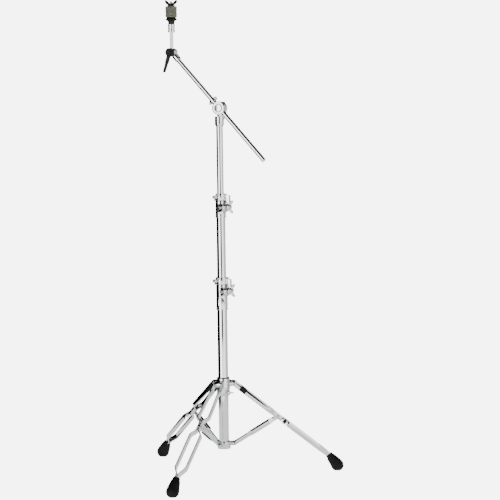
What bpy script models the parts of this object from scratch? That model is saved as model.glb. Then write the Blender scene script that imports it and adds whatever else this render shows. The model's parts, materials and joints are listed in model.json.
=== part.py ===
"""Cymbal boom stand: a double-braced tripod, three telescoping tubes and a tilting boom.

Metres, +Z up. The stand's own axis is the common axis of the three tubes. Every height
is worked up from the floor through the legs, the hub, the tubes and the boom, so a
changed length carries on to everything above it.
"""
import math

import bmesh
import bpy
from mathutils import Matrix, Vector

# Driving dimensions, in metres and degrees
GAP = 0.0003                    # clearance between two pieces that touch
SIDES = 24                      # facets round a tube or a turned casting
SMALL_SIDES = 12                # facets round a pin, bolt or small boss

LEG_TURN = 4.4                  # azimuth of the first leg
LEG_NAMES = ("a", "b", "c")
LEG_LENGTH = 0.3485             # collar hinge to the top of the foot
LEG_SLOPE = 38.6                # below the horizontal
STRIP_WIDTH = 0.015
STRIP_THICKNESS = 0.003
STRIP_TAIL = 0.012              # length of strip inside the foot
LOOP_HALF_WIDTH = 0.0163        # strip centre to leg centre, at the widest of each loop
PINCH_HALF_LENGTH = 0.0135      # straight pinched stretch each side of the rivet
BEND_LENGTH = 0.021             # each S-bend beside the pinch
TIP_BEND_LENGTH = 0.030         # S-bend that closes the strips above the foot
BRACE_JOINT = 0.160             # collar hinge to the rivet, along the leg
BRACE_LENGTH = 0.1462           # rivet to hub pivot
BRACE_DEPTH = 0.0145
BRACE_HALF_WIDTH = 0.0056
BRACE_WALL = 0.0015
BRACE_TONGUE = 0.0024           # thickness of the brace's flattened ends
BRACE_TONGUE_LENGTH = 0.030     # flattened end at the rivet, with its shoulder
BRACE_HUB_TONGUE = 0.058        # flattened end at the hub, long enough to pass its cheeks
BRACE_SHOULDER = 0.012          # where the channel is pressed down to a flat end
RIVET_DIAMETER = 0.0055
PIN_DIAMETER = 0.0060
PIN_HEAD = 0.0045               # head radius of pins and rivets
PIN_HEAD_HEIGHT = 0.0016

FOOT_SLOPE = 52.0
FOOT_HEIGHT = 0.0445            # centre of the foot's top above the floor
FOOT_TOP_RADIUS = 0.0110
FOOT_RADIUS = 0.0180
FOOT_BODY = 0.0380              # foot's top to the centre of its domed end
FOOT_NECK = 0.0035

HUB_PIVOT_RADIUS = 0.030
HUB_WALL = 0.0044
HUB_ABOVE_PIVOT = 0.0065
HUB_BELOW_PIVOT = 0.0145
HUB_CHEEK = 0.0040              # thickness of each cheek beside a brace tongue
HUB_LUG_RADIUS = 0.0060

COLLAR_PIVOT_RADIUS = 0.031
COLLAR_LUG_WIDTH = 0.020
COLLAR_LUG_RADIUS = 0.0078
COLLAR_WALL = 0.0024
COLLAR_ABOVE_PIVOT = 0.0148
COLLAR_BELOW_PIVOT = 0.0171
COLLAR_SLEEVE = 0.0170          # sleeve below the lugs, which carries the wing screw
BUSHING_WALL = 0.0013
BUSHING_FLANGE = 0.0018

MIDDLE_TUBE_DIAMETER = 0.0254   # the tube inside it and the one outside take theirs from it
MIDDLE_TUBE_PLAY = 0.0004       # middle tube to the base tube's bore
TOP_TUBE_PLAY = 0.00195         # top tube to the middle tube's bore, filled by a bushing
TUBE_WALL = 0.0012
BASE_TUBE_LENGTH = 0.4440
MIDDLE_TUBE_LENGTH = 0.460
MIDDLE_TUBE_SHOWING = 0.2120    # top of the lower clamp to the top of the middle tube
TOP_TUBE_LENGTH = 0.460
TOP_TUBE_SHOWING = 0.2357       # top of the upper clamp to the top of the top tube

CLAMP_TURN = -55.0              # azimuth of the clamps' ears
CLAMP_WALL = 0.0016
CLAMP_MOUTH = 0.026             # clamp body above the end of the outer tube
LOWER_SLEEVE = 0.047            # clamp body over the base tube
UPPER_SLEEVE = 0.023            # clamp body over the middle tube
EAR_REACH = 0.029               # tube axis to the end of the ears
EAR_THICKNESS = 0.0115
EAR_HEIGHT = 0.020
EAR_BELOW_TOP = 0.009           # ears' upper face below the clamp's top
SLOT_WIDTH = 0.003
CLAMP_BOLT_OFFSET = 0.0065      # bolt axis to the inner tube's surface
BOLT_DIAMETER = 0.0060
BOLT_HEAD_RADIUS = 0.0055
BOLT_HEAD_HEIGHT = 0.0045
WING_SPAN = 0.0185              # bolt axis to a wing's tip
WING_HUB_RADIUS = 0.0070
WING_THICKNESS = 0.0040
WING_REACH = 0.0190             # length of a wing nut along its bolt

LOCK_TURN = 20.0                # azimuth of the memory lock's hinge
LOCK_WALL = 0.0046
LOCK_HEIGHT = 0.019
LOCK_KEY_TURN = -25.0           # azimuth of the key that drops beside the clamp's ears
LOCK_KEY_WIDTH = 0.011
LOCK_KEY_RISE = 0.0045          # key's top below the ring's top
LOCK_PIN_RADIUS = 0.0016
LOCK_KNUCKLE_RADIUS = 0.0036
LOCK_LUG = 0.0085               # screw lug beyond the ring's outside
LOCK_SCREW_RADIUS = 0.0020
LOCK_SCREW_NECK = 0.0060        # screw's head, before its wings start
LOCK_SCREW_SPAN = 0.0115        # screw's axis to a wing's tip
LOCK_SCREW_LEAN = -118.0        # lower wing's direction, away from the tube and down

YOKE_WALL = 0.0030
YOKE_SOCKET = 0.0220            # depth of the bore that takes the top tube
YOKE_TAPER = 0.0040
YOKE_SHELF = 0.0012             # socket's top above the end of the tube in it
PIVOT_CLEARANCE = 0.01875       # top of the top tube to the boom's underside when level
BOOM_TURN = 27.0                # boom's plane, turned about the stand's axis
BOOM_SLOPE = 47.0
BOOM_DIAMETER = 0.0127
BOOM_WALL = 0.0015
BOOM_UP = 0.2035                # pivot to the boom's upper end
BOOM_DOWN = 0.203               # pivot to the boom's lower end
BOOM_PLUG = 0.036
CLAMP_DISC_RADIUS = 0.0186
CLAMP_DISC_FRONT_WALL = 0.00315 # disc's front and back faces, from the boom's surface
CLAMP_DISC_BACK_WALL = 0.00265
EYE_WALL = 0.00405
EYE_FLOOR = 0.00045             # boom's surface to the bottom of the eye's seat
EYE_BOLT_DIAMETER = 0.0080
YOKE_CHEEK = 0.0070
STOP_COLLAR_PLACE = 0.0280      # pivot to the middle of the boom's stop collar
STOP_COLLAR_WALL = 0.00335
STOP_COLLAR_WIDTH = 0.0100

TILTER_REACH = 0.0145           # boom's end to the tilter's hinge
TILTER_RADIUS = 0.0120
TILTER_BACK = 0.0140
TILTER_FRONT = 0.0082
TILTER_SOCKET_WALL = 0.00155
TILTER_SOCKET_LENGTH = 0.0200
TILTER_BOLT_DIAMETER = 0.0080
LEVER_RADIUS = 0.0123
LEVER_THICKNESS = 0.0095
LEVER_LENGTH = 0.0595
LEVER_TURN = 18.6               # lever's lean from straight down
LEVER_ROOT = 0.0056             # half width of the lever's arm at its root and at its tip
LEVER_TIP = 0.0034

ROD_DIAMETER = 0.0100
THREAD_DIAMETER = 0.0080
SLEEVE_HEIGHT = 0.0270
SLEEVE_RADIUS = 0.0100
SLEEVE_ABOVE_HINGE = 0.0570
CUP_HEIGHT = 0.0150
CUP_RADIUS = 0.0177
CUP_BRIM = 0.0022
CUP_HUB_RADIUS = 0.0088
CUP_HAT_RADIUS = 0.0136
CUP_HAT_HEIGHT = 0.0040
FELT_RADIUS = 0.0165
FELT_HEIGHT = 0.0152
FELT_BORE = 0.0050
ROD_ABOVE_FELTS = 0.0145
NUT_BASE_RADIUS = 0.0110
NUT_BASE_HEIGHT = 0.0030
NUT_WING_HEIGHT = 0.0170

# Places worked out from the driving dimensions
leg_slope = math.radians(LEG_SLOPE)
collar_z = FOOT_HEIGHT + LEG_LENGTH * math.sin(leg_slope)
rivet_r = COLLAR_PIVOT_RADIUS + BRACE_JOINT * math.cos(leg_slope)
rivet_z = collar_z - BRACE_JOINT * math.sin(leg_slope)
brace_slope = math.acos((rivet_r - HUB_PIVOT_RADIUS) / BRACE_LENGTH)
hub_z = rivet_z - BRACE_LENGTH * math.sin(brace_slope)
pinch_offset = BRACE_TONGUE / 2 + GAP + STRIP_THICKNESS / 2
lug_offset = COLLAR_LUG_WIDTH / 2 + GAP + STRIP_THICKNESS / 2
middle_radius = MIDDLE_TUBE_DIAMETER / 2
base_radius = middle_radius + MIDDLE_TUBE_PLAY + TUBE_WALL
top_radius = middle_radius - TUBE_WALL - TOP_TUBE_PLAY
boom_radius = BOOM_DIAMETER / 2
boom_bore = boom_radius + GAP
disc_front = boom_radius + CLAMP_DISC_FRONT_WALL
disc_back = boom_radius + CLAMP_DISC_BACK_WALL
eye_radius = boom_radius + EYE_WALL
eye_floor = boom_radius + EYE_FLOOR
tilter_plane = ROD_DIAMETER / 2 + GAP + 0.0001   # where the halves meet, behind the rod
base_tube_bottom = hub_z - HUB_BELOW_PIVOT + 0.0025
base_tube_top = base_tube_bottom + BASE_TUBE_LENGTH
lower_clamp_top = base_tube_top + CLAMP_MOUTH
middle_tube_top = lower_clamp_top + MIDDLE_TUBE_SHOWING
upper_clamp_top = middle_tube_top + CLAMP_MOUTH
top_tube_top = upper_clamp_top + TOP_TUBE_SHOWING
pivot_z = top_tube_top + boom_radius + PIVOT_CLEARANCE


def clear_scene():
    for old in list(bpy.data.objects):
        bpy.data.objects.remove(old, do_unlink=True)


def material(name, colour, roughness, metallic):
    made = bpy.data.materials.new(name)
    made.use_nodes = True
    made.diffuse_color = (*colour, 1.0)
    shader = made.node_tree.nodes["Principled BSDF"]
    shader.inputs["Base Color"].default_value = (*colour, 1.0)
    shader.inputs["Roughness"].default_value = roughness
    shader.inputs["Metallic"].default_value = metallic
    return made


def frame(name, parent, origin, x_axis, y_axis):
    """An empty at origin in the stand's space, turned to the two given axes."""
    x_axis = Vector(x_axis).normalized()
    y_axis = Vector(y_axis).normalized()
    z_axis = x_axis.cross(y_axis)
    turn = Matrix((x_axis, y_axis, z_axis)).transposed().to_4x4()
    empty = bpy.data.objects.new(name, None)
    empty.empty_display_size = 0.01
    bpy.context.collection.objects.link(empty)
    empty.parent = parent
    empty.matrix_basis = Matrix.Translation(origin) @ turn
    return empty


def upright_frame(name, parent, height, azimuth):
    angle = math.radians(azimuth)
    ahead = (math.cos(angle), math.sin(angle), 0)
    left = (-math.sin(angle), math.cos(angle), 0)
    return frame(name, parent, (0, 0, height), ahead, left)


# Shapes, each a closed bmesh in its own space

def spread(axis, first, second, along):
    """Put two cross coordinates and one along the axis in X, Y, Z order."""
    if axis == "X":
        return Vector((along, first, second))
    if axis == "Y":
        return Vector((first, along, second))
    return Vector((first, second, along))


def turned(profile, axis="Z", sides=SIDES):
    """A profile of (radius, place along the axis) points turned round the axis."""
    shape = bmesh.new()
    verts = [shape.verts.new(spread(axis, radius, 0, along)) for radius, along in profile]
    edges = [shape.edges.new(pair) for pair in zip(verts, verts[1:])]
    if profile[0][0] > 0:
        edges.append(shape.edges.new((verts[-1], verts[0])))
    bmesh.ops.spin(shape, geom=verts + edges, cent=(0, 0, 0), axis=spread(axis, 0, 0, 1),
                   angle=2 * math.pi, steps=sides, use_merge=True)
    bmesh.ops.remove_doubles(shape, verts=shape.verts, dist=0.000001)
    bmesh.ops.recalc_face_normals(shape, faces=shape.faces)
    return shape


def rod(radius, low, high, axis="Z", sides=SMALL_SIDES):
    return turned([(0, low), (radius, low), (radius, high), (0, high)], axis, sides)


def tube(outer, inner, low, high, axis="Z", sides=SIDES):
    return turned([(inner, low), (outer, low), (outer, high), (inner, high)], axis, sides)


def headed_pin(radius, low, high, axis="Y", both=True):
    """A shank from low to high with a flat head outside its high end, or outside both."""
    profile = [(0, low), (radius, low)]
    if both:
        profile = [(0, low - PIN_HEAD_HEIGHT), (PIN_HEAD, low - PIN_HEAD_HEIGHT),
                   (PIN_HEAD, low), (radius, low)]
    profile += [(radius, high), (PIN_HEAD, high), (PIN_HEAD, high + PIN_HEAD_HEIGHT),
                (0, high + PIN_HEAD_HEIGHT)]
    return turned(profile, axis, SMALL_SIDES)


def slab(outline, low, high, axis="Z"):
    """A flat outline of two cross coordinates, extruded from low to high on the axis."""
    shape = bmesh.new()
    verts = [shape.verts.new(spread(axis, first, second, low)) for first, second in outline]
    face = shape.faces.new(verts)
    grown = bmesh.ops.extrude_face_region(shape, geom=[face])
    top = [item for item in grown["geom"] if isinstance(item, bmesh.types.BMVert)]
    bmesh.ops.translate(shape, verts=top, vec=spread(axis, 0, 0, high - low))
    bmesh.ops.recalc_face_normals(shape, faces=shape.faces)
    return shape


def block(low, high):
    outline = [(low[0], low[1]), (high[0], low[1]), (high[0], high[1]), (low[0], high[1])]
    return slab(outline, low[2], high[2])


def arc(centre, radius, start, end, count):
    """Points on a circle from one angle to another, in degrees."""
    angles = [math.radians(start + (end - start) * step / count) for step in range(count + 1)]
    return [(centre[0] + radius * math.cos(angle), centre[1] + radius * math.sin(angle))
            for angle in angles]


def place(shape, matrix):
    bmesh.ops.transform(shape, matrix=matrix, verts=shape.verts)
    return shape


def solid(name, shape, finish, parent, at=(0, 0, 0)):
    mesh = bpy.data.meshes.new(name)
    shape.to_mesh(mesh)
    shape.free()
    mesh.materials.append(finish)
    mesh.shade_smooth()
    mesh.set_sharp_from_angle(angle=math.radians(35))
    made = bpy.data.objects.new(name, mesh)
    bpy.context.collection.objects.link(made)
    made.parent = parent
    made.location = at
    return made


def combine(target, shape, operation):
    """Cut a shape from a solid, or join it on; the shape is in the solid's own space."""
    tool = solid(f"{target.name}_{operation.lower()}_{len(target.modifiers)}", shape,
                 target.data.materials[0], target.parent, target.location)
    tool.hide_render = True
    tool.display_type = "WIRE"
    step = target.modifiers.new(tool.name, "BOOLEAN")
    step.operation = operation
    step.solver = "MANIFOLD" if "_lock_" in target.name else "EXACT"
    step.object = tool


def cut(target, shape):
    combine(target, shape, "DIFFERENCE")


def join(target, shape):
    combine(target, shape, "UNION")


# Legs, feet and braces

def ease(amount):
    """Smooth step from 0 to 1."""
    amount = min(max(amount, 0.0), 1.0)
    return amount * amount * (3 - 2 * amount)


def strip_offset(along):
    """Distance of a strip's centre from the leg's centre plane, along the leg."""
    upper_start = BRACE_JOINT - PINCH_HALF_LENGTH - BEND_LENGTH
    lower_start = BRACE_JOINT + PINCH_HALF_LENGTH
    if along < upper_start:
        return lug_offset + (LOOP_HALF_WIDTH - lug_offset) * ease(along / upper_start)
    if along < BRACE_JOINT:
        amount = ease((along - upper_start) / BEND_LENGTH)
        return LOOP_HALF_WIDTH + (pinch_offset - LOOP_HALF_WIDTH) * amount
    if along < LEG_LENGTH / 2 + lower_start / 2 + BEND_LENGTH / 2:
        amount = ease((along - lower_start) / BEND_LENGTH)
        return pinch_offset + (LOOP_HALF_WIDTH - pinch_offset) * amount
    amount = ease((along - LEG_LENGTH + TIP_BEND_LENGTH + 0.010) / TIP_BEND_LENGTH)
    return LOOP_HALF_WIDTH + (pinch_offset - LOOP_HALF_WIDTH) * amount


def strip_stations():
    """Places along the leg: round the hinge end, then close together in the bends."""
    radius = STRIP_WIDTH / 2
    places = [(-radius * math.sin(math.radians(angle)), radius * math.cos(math.radians(angle)))
              for angle in (75, 55, 35, 15)]
    upper = BRACE_JOINT - PINCH_HALF_LENGTH - BEND_LENGTH
    lower = BRACE_JOINT + PINCH_HALF_LENGTH
    tip = LEG_LENGTH - TIP_BEND_LENGTH - 0.010
    straight = [upper * step / 4 for step in range(4)]
    bends = [start + length * step / 6
             for start, length in ((upper, BEND_LENGTH), (lower, BEND_LENGTH),
                                   (tip, TIP_BEND_LENGTH))
             for step in range(7)]
    ends = [LEG_LENGTH + STRIP_TAIL]
    return places + [(along, radius) for along in sorted(straight + bends + ends)]


def strip(side):
    """A flat steel strip on edge, bent to follow strip_offset on one side of the leg."""
    shape = bmesh.new()
    step = 0.0005
    rings = []
    for along, half_width in strip_stations():
        slope = (strip_offset(along + step) - strip_offset(along - step)) / (2 * step)
        half = STRIP_THICKNESS / 2 * math.sqrt(1 + slope * slope)
        middle = strip_offset(along) if along > 0 else lug_offset
        corners = ((middle - half, -half_width), (middle + half, -half_width),
                   (middle + half, half_width), (middle - half, half_width))
        rings.append([shape.verts.new((along, side * across, up)) for across, up in corners])
    for near, far in zip(rings, rings[1:]):
        for corner in range(4):
            other = (corner + 1) % 4
            shape.faces.new((near[corner], near[other], far[other], far[corner]))
    shape.faces.new(rings[0])
    shape.faces.new(rings[-1])
    bmesh.ops.recalc_face_normals(shape, faces=shape.faces)
    return shape


def foot_shape():
    """Moulded foot about its own +X axis: short neck, flared body and domed end."""
    dome = [(FOOT_RADIUS * math.cos(math.radians(angle)),
             FOOT_BODY + FOOT_RADIUS * math.sin(math.radians(angle)))
            for angle in (0, 20, 40, 60, 90)]
    profile = [(0, -FOOT_NECK), (FOOT_TOP_RADIUS - 0.002, -FOOT_NECK), (FOOT_TOP_RADIUS, 0.001),
               (FOOT_TOP_RADIUS + 0.0025, 0.006)] + dome
    profile[-1] = (0, profile[-1][1])
    return turned(profile, "X", 20)


def brace_shape():
    """The brace's middle as a bar along +X, before its underside is cut to a channel."""
    half_depth = BRACE_DEPTH / 2
    return block((BRACE_TONGUE_LENGTH, -BRACE_HALF_WIDTH, -half_depth),
                 (BRACE_LENGTH - BRACE_HUB_TONGUE, BRACE_HALF_WIDTH, half_depth))


def brace_tongue():
    """The flat ends as one plate that runs the brace's whole length inside the channel."""
    radius = BRACE_DEPTH / 2 - 0.0008
    outline = arc((0, 0), radius, 90, 270, 8)
    outline += arc((BRACE_LENGTH, 0), radius, -90, 90, 8)
    return slab(outline, -BRACE_TONGUE / 2, BRACE_TONGUE / 2, "Y")


def brace_shoulder(start, towards):
    """Wedge where the channel is pressed down to the flat end."""
    half_depth = BRACE_DEPTH / 2 - 0.0006
    wide = start - 0.001 * towards
    narrow = start + BRACE_SHOULDER * towards
    outline = [(wide, -BRACE_HALF_WIDTH), (wide, BRACE_HALF_WIDTH),
               (narrow, BRACE_TONGUE / 2), (narrow, -BRACE_TONGUE / 2)]
    return slab(outline, -half_depth, half_depth)


def make_leg(stand, name, azimuth):
    angle = math.radians(azimuth)
    outward = Vector((math.cos(angle), math.sin(angle), 0))
    across = Vector((-math.sin(angle), math.cos(angle), 0))
    up = Vector((0, 0, 1))
    down_leg = outward * math.cos(leg_slope) - up * math.sin(leg_slope)
    hinge = outward * COLLAR_PIVOT_RADIUS + up * collar_z
    leg = frame(f"leg_{name}_hinge", stand, hinge, down_leg, across)

    for side, label in ((1, "left"), (-1, "right")):
        piece = solid(f"leg_{name}_strip_{label}", strip(side), chrome, leg)
        reach = 2 * LOOP_HALF_WIDTH
        cut(piece, rod(PIN_DIAMETER / 2 + GAP, -reach, reach, "Y"))
        hole = rod(RIVET_DIAMETER / 2 + GAP, -reach, reach, "Y")
        cut(piece, place(hole, Matrix.Translation((BRACE_JOINT, 0, 0))))

    rivet_end = pinch_offset + STRIP_THICKNESS / 2 + GAP
    rivet = headed_pin(RIVET_DIAMETER / 2, -rivet_end, rivet_end)
    solid(f"leg_{name}_rivet", rivet, zinc, leg, (BRACE_JOINT, 0, 0))

    pin_end = lug_offset + STRIP_THICKNESS / 2 + GAP
    pin = headed_pin(PIN_DIAMETER / 2, -pin_end, pin_end)
    solid(f"leg_{name}_collar_pin", pin, zinc, leg)

    make_foot(stand, name, hinge + down_leg * LEG_LENGTH, outward, across)
    make_brace(stand, name, hinge + down_leg * BRACE_JOINT, outward, across)


def make_foot(stand, name, top, outward, across):
    slope = math.radians(FOOT_SLOPE)
    down_foot = outward * math.cos(slope) - Vector((0, 0, 1)) * math.sin(slope)
    base = frame(f"foot_{name}_axis", stand, top, down_foot, across)
    foot = solid(f"leg_{name}_foot", foot_shape(), rubber, base)
    reach = 4 * FOOT_RADIUS
    floor = block((-reach, -reach, -reach), (reach, reach, 0))
    to_foot = base.matrix_basis.inverted() @ Matrix.Translation((top[0], top[1], 0))
    cut(foot, place(floor, to_foot))
    half_bundle = pinch_offset + STRIP_THICKNESS / 2 + GAP
    half_width = STRIP_WIDTH / 2 + GAP
    pocket = block((-0.03, -half_bundle, -half_width),
                   (STRIP_TAIL + GAP, half_bundle, half_width))
    lean = Matrix.Rotation(math.radians(FOOT_SLOPE - LEG_SLOPE), 4, "Y")
    cut(foot, place(pocket, lean.inverted()))


def make_brace(stand, name, rivet_place, outward, across):
    inward = -outward * math.cos(brace_slope) - Vector((0, 0, 1)) * math.sin(brace_slope)
    hinge = frame(f"brace_{name}_hinge", stand, rivet_place, inward, across)
    brace = solid(f"brace_{name}", brace_shape(), chrome, hinge)
    inner = BRACE_HALF_WIDTH - BRACE_WALL
    half_depth = BRACE_DEPTH / 2
    cut(brace, block((0, -inner, BRACE_WALL - half_depth), (BRACE_LENGTH, inner, BRACE_DEPTH)))
    join(brace, brace_shoulder(BRACE_TONGUE_LENGTH, -1))
    join(brace, brace_shoulder(BRACE_LENGTH - BRACE_HUB_TONGUE, 1))
    join(brace, brace_tongue())
    cut(brace, rod(RIVET_DIAMETER / 2 + GAP, -0.01, 0.01, "Y"))
    hole = rod(RIVET_DIAMETER / 2 + GAP, -0.01, 0.01, "Y")
    cut(brace, place(hole, Matrix.Translation((BRACE_LENGTH, 0, 0))))
    pin_end = BRACE_TONGUE / 2 + GAP + HUB_CHEEK + GAP
    pin = headed_pin(RIVET_DIAMETER / 2, -pin_end, pin_end)
    solid(f"brace_{name}_hub_pin", pin, zinc, hinge, (BRACE_LENGTH, 0, 0))


# Hub and collar on the base tube

def make_hub(stand):
    hub_top = hub_z + HUB_ABOVE_PIVOT
    hub_bottom = hub_z - HUB_BELOW_PIVOT
    bore = base_radius + GAP
    radius = bore + HUB_WALL
    lug_root = radius - 0.0015
    cup = turned([(0, hub_bottom), (radius - 0.002, hub_bottom),
                  (radius, hub_bottom + 0.002), (radius, hub_top - 0.001),
                  (radius - 0.001, hub_top), (bore, hub_top),
                  (bore, base_tube_bottom - GAP), (0, base_tube_bottom - GAP)])
    hub = solid("brace_hub", cup, cast_chrome, stand)
    inside = BRACE_TONGUE / 2 + GAP
    outside = inside + HUB_CHEEK
    lug_bottom = hub_z - HUB_LUG_RADIUS
    for azimuth in leg_azimuths:
        turn = Matrix.Rotation(math.radians(azimuth), 4, "Z")
        outline = [(lug_root, lug_bottom)]
        outline += arc((HUB_PIVOT_RADIUS, hub_z), HUB_LUG_RADIUS, -90, 90, 8)
        outline += [(lug_root, hub_z + HUB_LUG_RADIUS)]
        for side in (1, -1):
            low, high = sorted((side * inside, side * outside))
            join(hub, place(slab(outline, low, high, "Y"), turn))
        pin = RIVET_DIAMETER / 2 + GAP
        slot = arc((HUB_PIVOT_RADIUS, hub_z), pin, 0, 180, 8)
        slot += [(HUB_PIVOT_RADIUS - pin - 0.003, lug_bottom - 0.002),
                 (HUB_PIVOT_RADIUS + pin + 0.003, lug_bottom - 0.002)]
        cut(hub, place(slab(slot, -2 * outside, 2 * outside, "Y"), turn))


def make_collar(stand):
    collar = upright_frame("collar_slide", stand, collar_z, LEG_TURN)
    bore = base_radius + GAP + BUSHING_WALL + GAP
    outer = bore + COLLAR_WALL
    bottom = -COLLAR_BELOW_PIVOT - COLLAR_SLEEVE
    body = solid("leg_collar", tube(outer, bore, bottom, COLLAR_ABOVE_PIVOT), cast_chrome, collar)
    root = bore + 0.0006
    rise = COLLAR_LUG_RADIUS
    for turn_by in (0, 120, 240):
        turn = Matrix.Rotation(math.radians(turn_by), 4, "Z")
        outline = [(root, -rise)]
        outline += arc((COLLAR_PIVOT_RADIUS, 0), rise, -90, 90, 8)
        outline += [(root, rise)]
        lug = slab(outline, -COLLAR_LUG_WIDTH / 2, COLLAR_LUG_WIDTH / 2, "Y")
        join(body, place(lug, turn))
        hole = rod(PIN_DIAMETER / 2 + GAP, -COLLAR_LUG_WIDTH, COLLAR_LUG_WIDTH, "Y")
        cut(body, place(hole, turn @ Matrix.Translation((COLLAR_PIVOT_RADIUS, 0, 0))))

    flange = outer - 0.0004
    inner = base_radius + GAP
    sleeve = inner + BUSHING_WALL
    profile = [(inner, bottom), (sleeve, bottom), (sleeve, COLLAR_ABOVE_PIVOT + GAP),
               (flange, COLLAR_ABOVE_PIVOT + GAP),
               (flange, COLLAR_ABOVE_PIVOT + GAP + BUSHING_FLANGE),
               (inner, COLLAR_ABOVE_PIVOT + GAP + BUSHING_FLANGE)]
    bushing = solid("collar_bushing", turned(profile), nylon, collar)

    screw_z = -COLLAR_BELOW_PIVOT - COLLAR_SLEEVE / 2 + 0.0010
    boss_end = outer + 0.0045
    screw_turn = Matrix.Rotation(math.radians(-60), 4, "Z") @ Matrix.Translation((0, 0, screw_z))
    boss = rod(0.0065, bore + 0.0006, boss_end, "X")
    join(body, place(boss, screw_turn))
    hole = BOLT_DIAMETER / 2 + GAP
    cut(body, place(rod(hole, inner - 0.001, boss_end + 0.002, "X"), screw_turn))
    cut(bushing, place(rod(hole, inner - 0.001, sleeve + 0.002, "X"), screw_turn))

    angle = math.radians(LEG_TURN - 60)
    along = (math.cos(angle), math.sin(angle), 0)
    across = (-math.sin(angle), math.cos(angle), 0)
    screw = frame("collar_wing_screw_axis", stand, (0, 0, collar_z + screw_z), along, across)
    shank = BOLT_DIAMETER / 2
    start = base_radius + 2 * GAP
    hub = boss_end + GAP
    profile = [(0, start), (shank, start), (shank, hub), (WING_HUB_RADIUS - 0.001, hub),
               (WING_HUB_RADIUS - 0.001, hub + 0.008), (0, hub + 0.008)]
    piece = solid("collar_wing_screw", turned(profile, "X", SMALL_SIDES), chrome, screw)
    for shape in wings(hub + 0.001, 0.013, WING_HUB_RADIUS - 0.002, 0.0125, 0.0036):
        join(piece, shape)


def wings(start, reach, root, span, thickness):
    """Two flared ears in the XY plane, one each side of the X axis."""
    made = []
    for side in (1, -1):
        tip = side * span
        outline = [(start, side * root), (start + reach * 0.30, tip * 0.78),
                   (start + reach * 0.62, tip), (start + reach * 0.95, tip),
                   (start + reach, tip * 0.82), (start + reach * 0.62, side * root * 1.15),
                   (start + reach * 0.48, side * root)]
        made.append(slab(outline, -thickness / 2, thickness / 2))
    return made


# Clamps and memory locks on the telescoping tubes

def make_clamp(stand, level, top, outer_radius, inner_radius, sleeve):
    """Cast clamp on the end of an outer tube: body, bushing, cross bolt and wing nut."""
    clamp = upright_frame(f"{level}_clamp_axis", stand, top, CLAMP_TURN)
    bore = outer_radius + GAP
    body_radius = bore + CLAMP_WALL
    bottom = -CLAMP_MOUTH - sleeve
    body = rod(body_radius, bottom, 0, "Z", SIDES)
    casting = solid(f"{level}_clamp_casting", body, cast_chrome, clamp)
    half = SLOT_WIDTH / 2 + EAR_THICKNESS
    ear_top = -EAR_BELOW_TOP
    ear_bottom = ear_top - EAR_HEIGHT
    corner = 0.005
    outline = [(0.004, ear_bottom - 0.006), (EAR_REACH - corner, ear_bottom),
               (EAR_REACH, ear_bottom + corner), (EAR_REACH, ear_top - corner),
               (EAR_REACH - corner, ear_top), (0.004, ear_top)]
    join(casting, slab(outline, -half, half, "Y"))
    cut(casting, rod(bore, bottom - 0.01, 0.01, "Z", SIDES))
    cut(casting, block((0, -SLOT_WIDTH / 2, ear_bottom - 0.009),
                       (EAR_REACH + 0.01, SLOT_WIDTH / 2, 0.01)))
    bolt_x = inner_radius + CLAMP_BOLT_OFFSET
    bolt_z = (ear_top + ear_bottom) / 2
    hole = rod(BOLT_DIAMETER / 2 + GAP, -half - 0.01, half + 0.01, "Y")
    cut(casting, place(hole, Matrix.Translation((bolt_x, 0, bolt_z))))

    inner = inner_radius + GAP
    guide = tube(outer_radius, inner, -CLAMP_MOUTH + GAP, 0)
    bushing = solid(f"{level}_clamp_bushing", guide, nylon, clamp)
    cut(bushing, block((0, -SLOT_WIDTH / 2, -CLAMP_MOUTH - 0.01), (outer_radius + 0.01,
        SLOT_WIDTH / 2, 0.01)))
    relief = rod(BOLT_DIAMETER / 2 + GAP, -half, half, "Y")
    cut(bushing, place(relief, Matrix.Translation((bolt_x, 0, bolt_z))))

    at = (bolt_x, 0, bolt_z)
    shank = BOLT_DIAMETER / 2
    head = -half - GAP
    end = half + WING_REACH * 0.72
    profile = [(0, head - BOLT_HEAD_HEIGHT), (BOLT_HEAD_RADIUS - 0.0008, head - BOLT_HEAD_HEIGHT),
               (BOLT_HEAD_RADIUS, head - BOLT_HEAD_HEIGHT + 0.0008), (BOLT_HEAD_RADIUS, head),
               (shank, head), (shank, end), (0, end)]
    solid(f"{level}_clamp_bolt", turned(profile, "Y", SMALL_SIDES), zinc, clamp, at)

    along = clamp.matrix_basis.to_3x3() @ Vector((0, 1, 0))
    origin = clamp.matrix_basis @ Vector(at)
    nut_axis = frame(f"{level}_wing_nut_axis", stand, origin, along, (0, 0, 1))
    make_wing_nut(f"{level}_wing_nut", nut_axis, half + GAP, BOLT_DIAMETER / 2)


def make_wing_nut(name, axis, start, shank):
    """Cast wing nut on a bolt along +X: waisted hub, bore and two flared ears."""
    hub_length = WING_REACH * 0.55
    profile = [(shank + GAP, start), (WING_HUB_RADIUS, start),
               (WING_HUB_RADIUS, start + 0.0025), (WING_HUB_RADIUS - 0.0012, start + hub_length),
               (shank + GAP, start + hub_length)]
    nut = solid(name, turned(profile, "X", SMALL_SIDES), chrome, axis)
    for shape in wings(start + 0.0022, WING_REACH - 0.0022, WING_HUB_RADIUS - 0.0022, WING_SPAN,
                       WING_THICKNESS):
        join(nut, shape)
    cut(nut, rod(shank + GAP, start - 0.005, start + WING_REACH, "X"))


def half_ring(inner, outer, low, high, start, end):
    outline = arc((0, 0), outer, start, end, 14) + arc((0, 0), inner, end, start, 14)
    return slab(outline, low, high)


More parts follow.
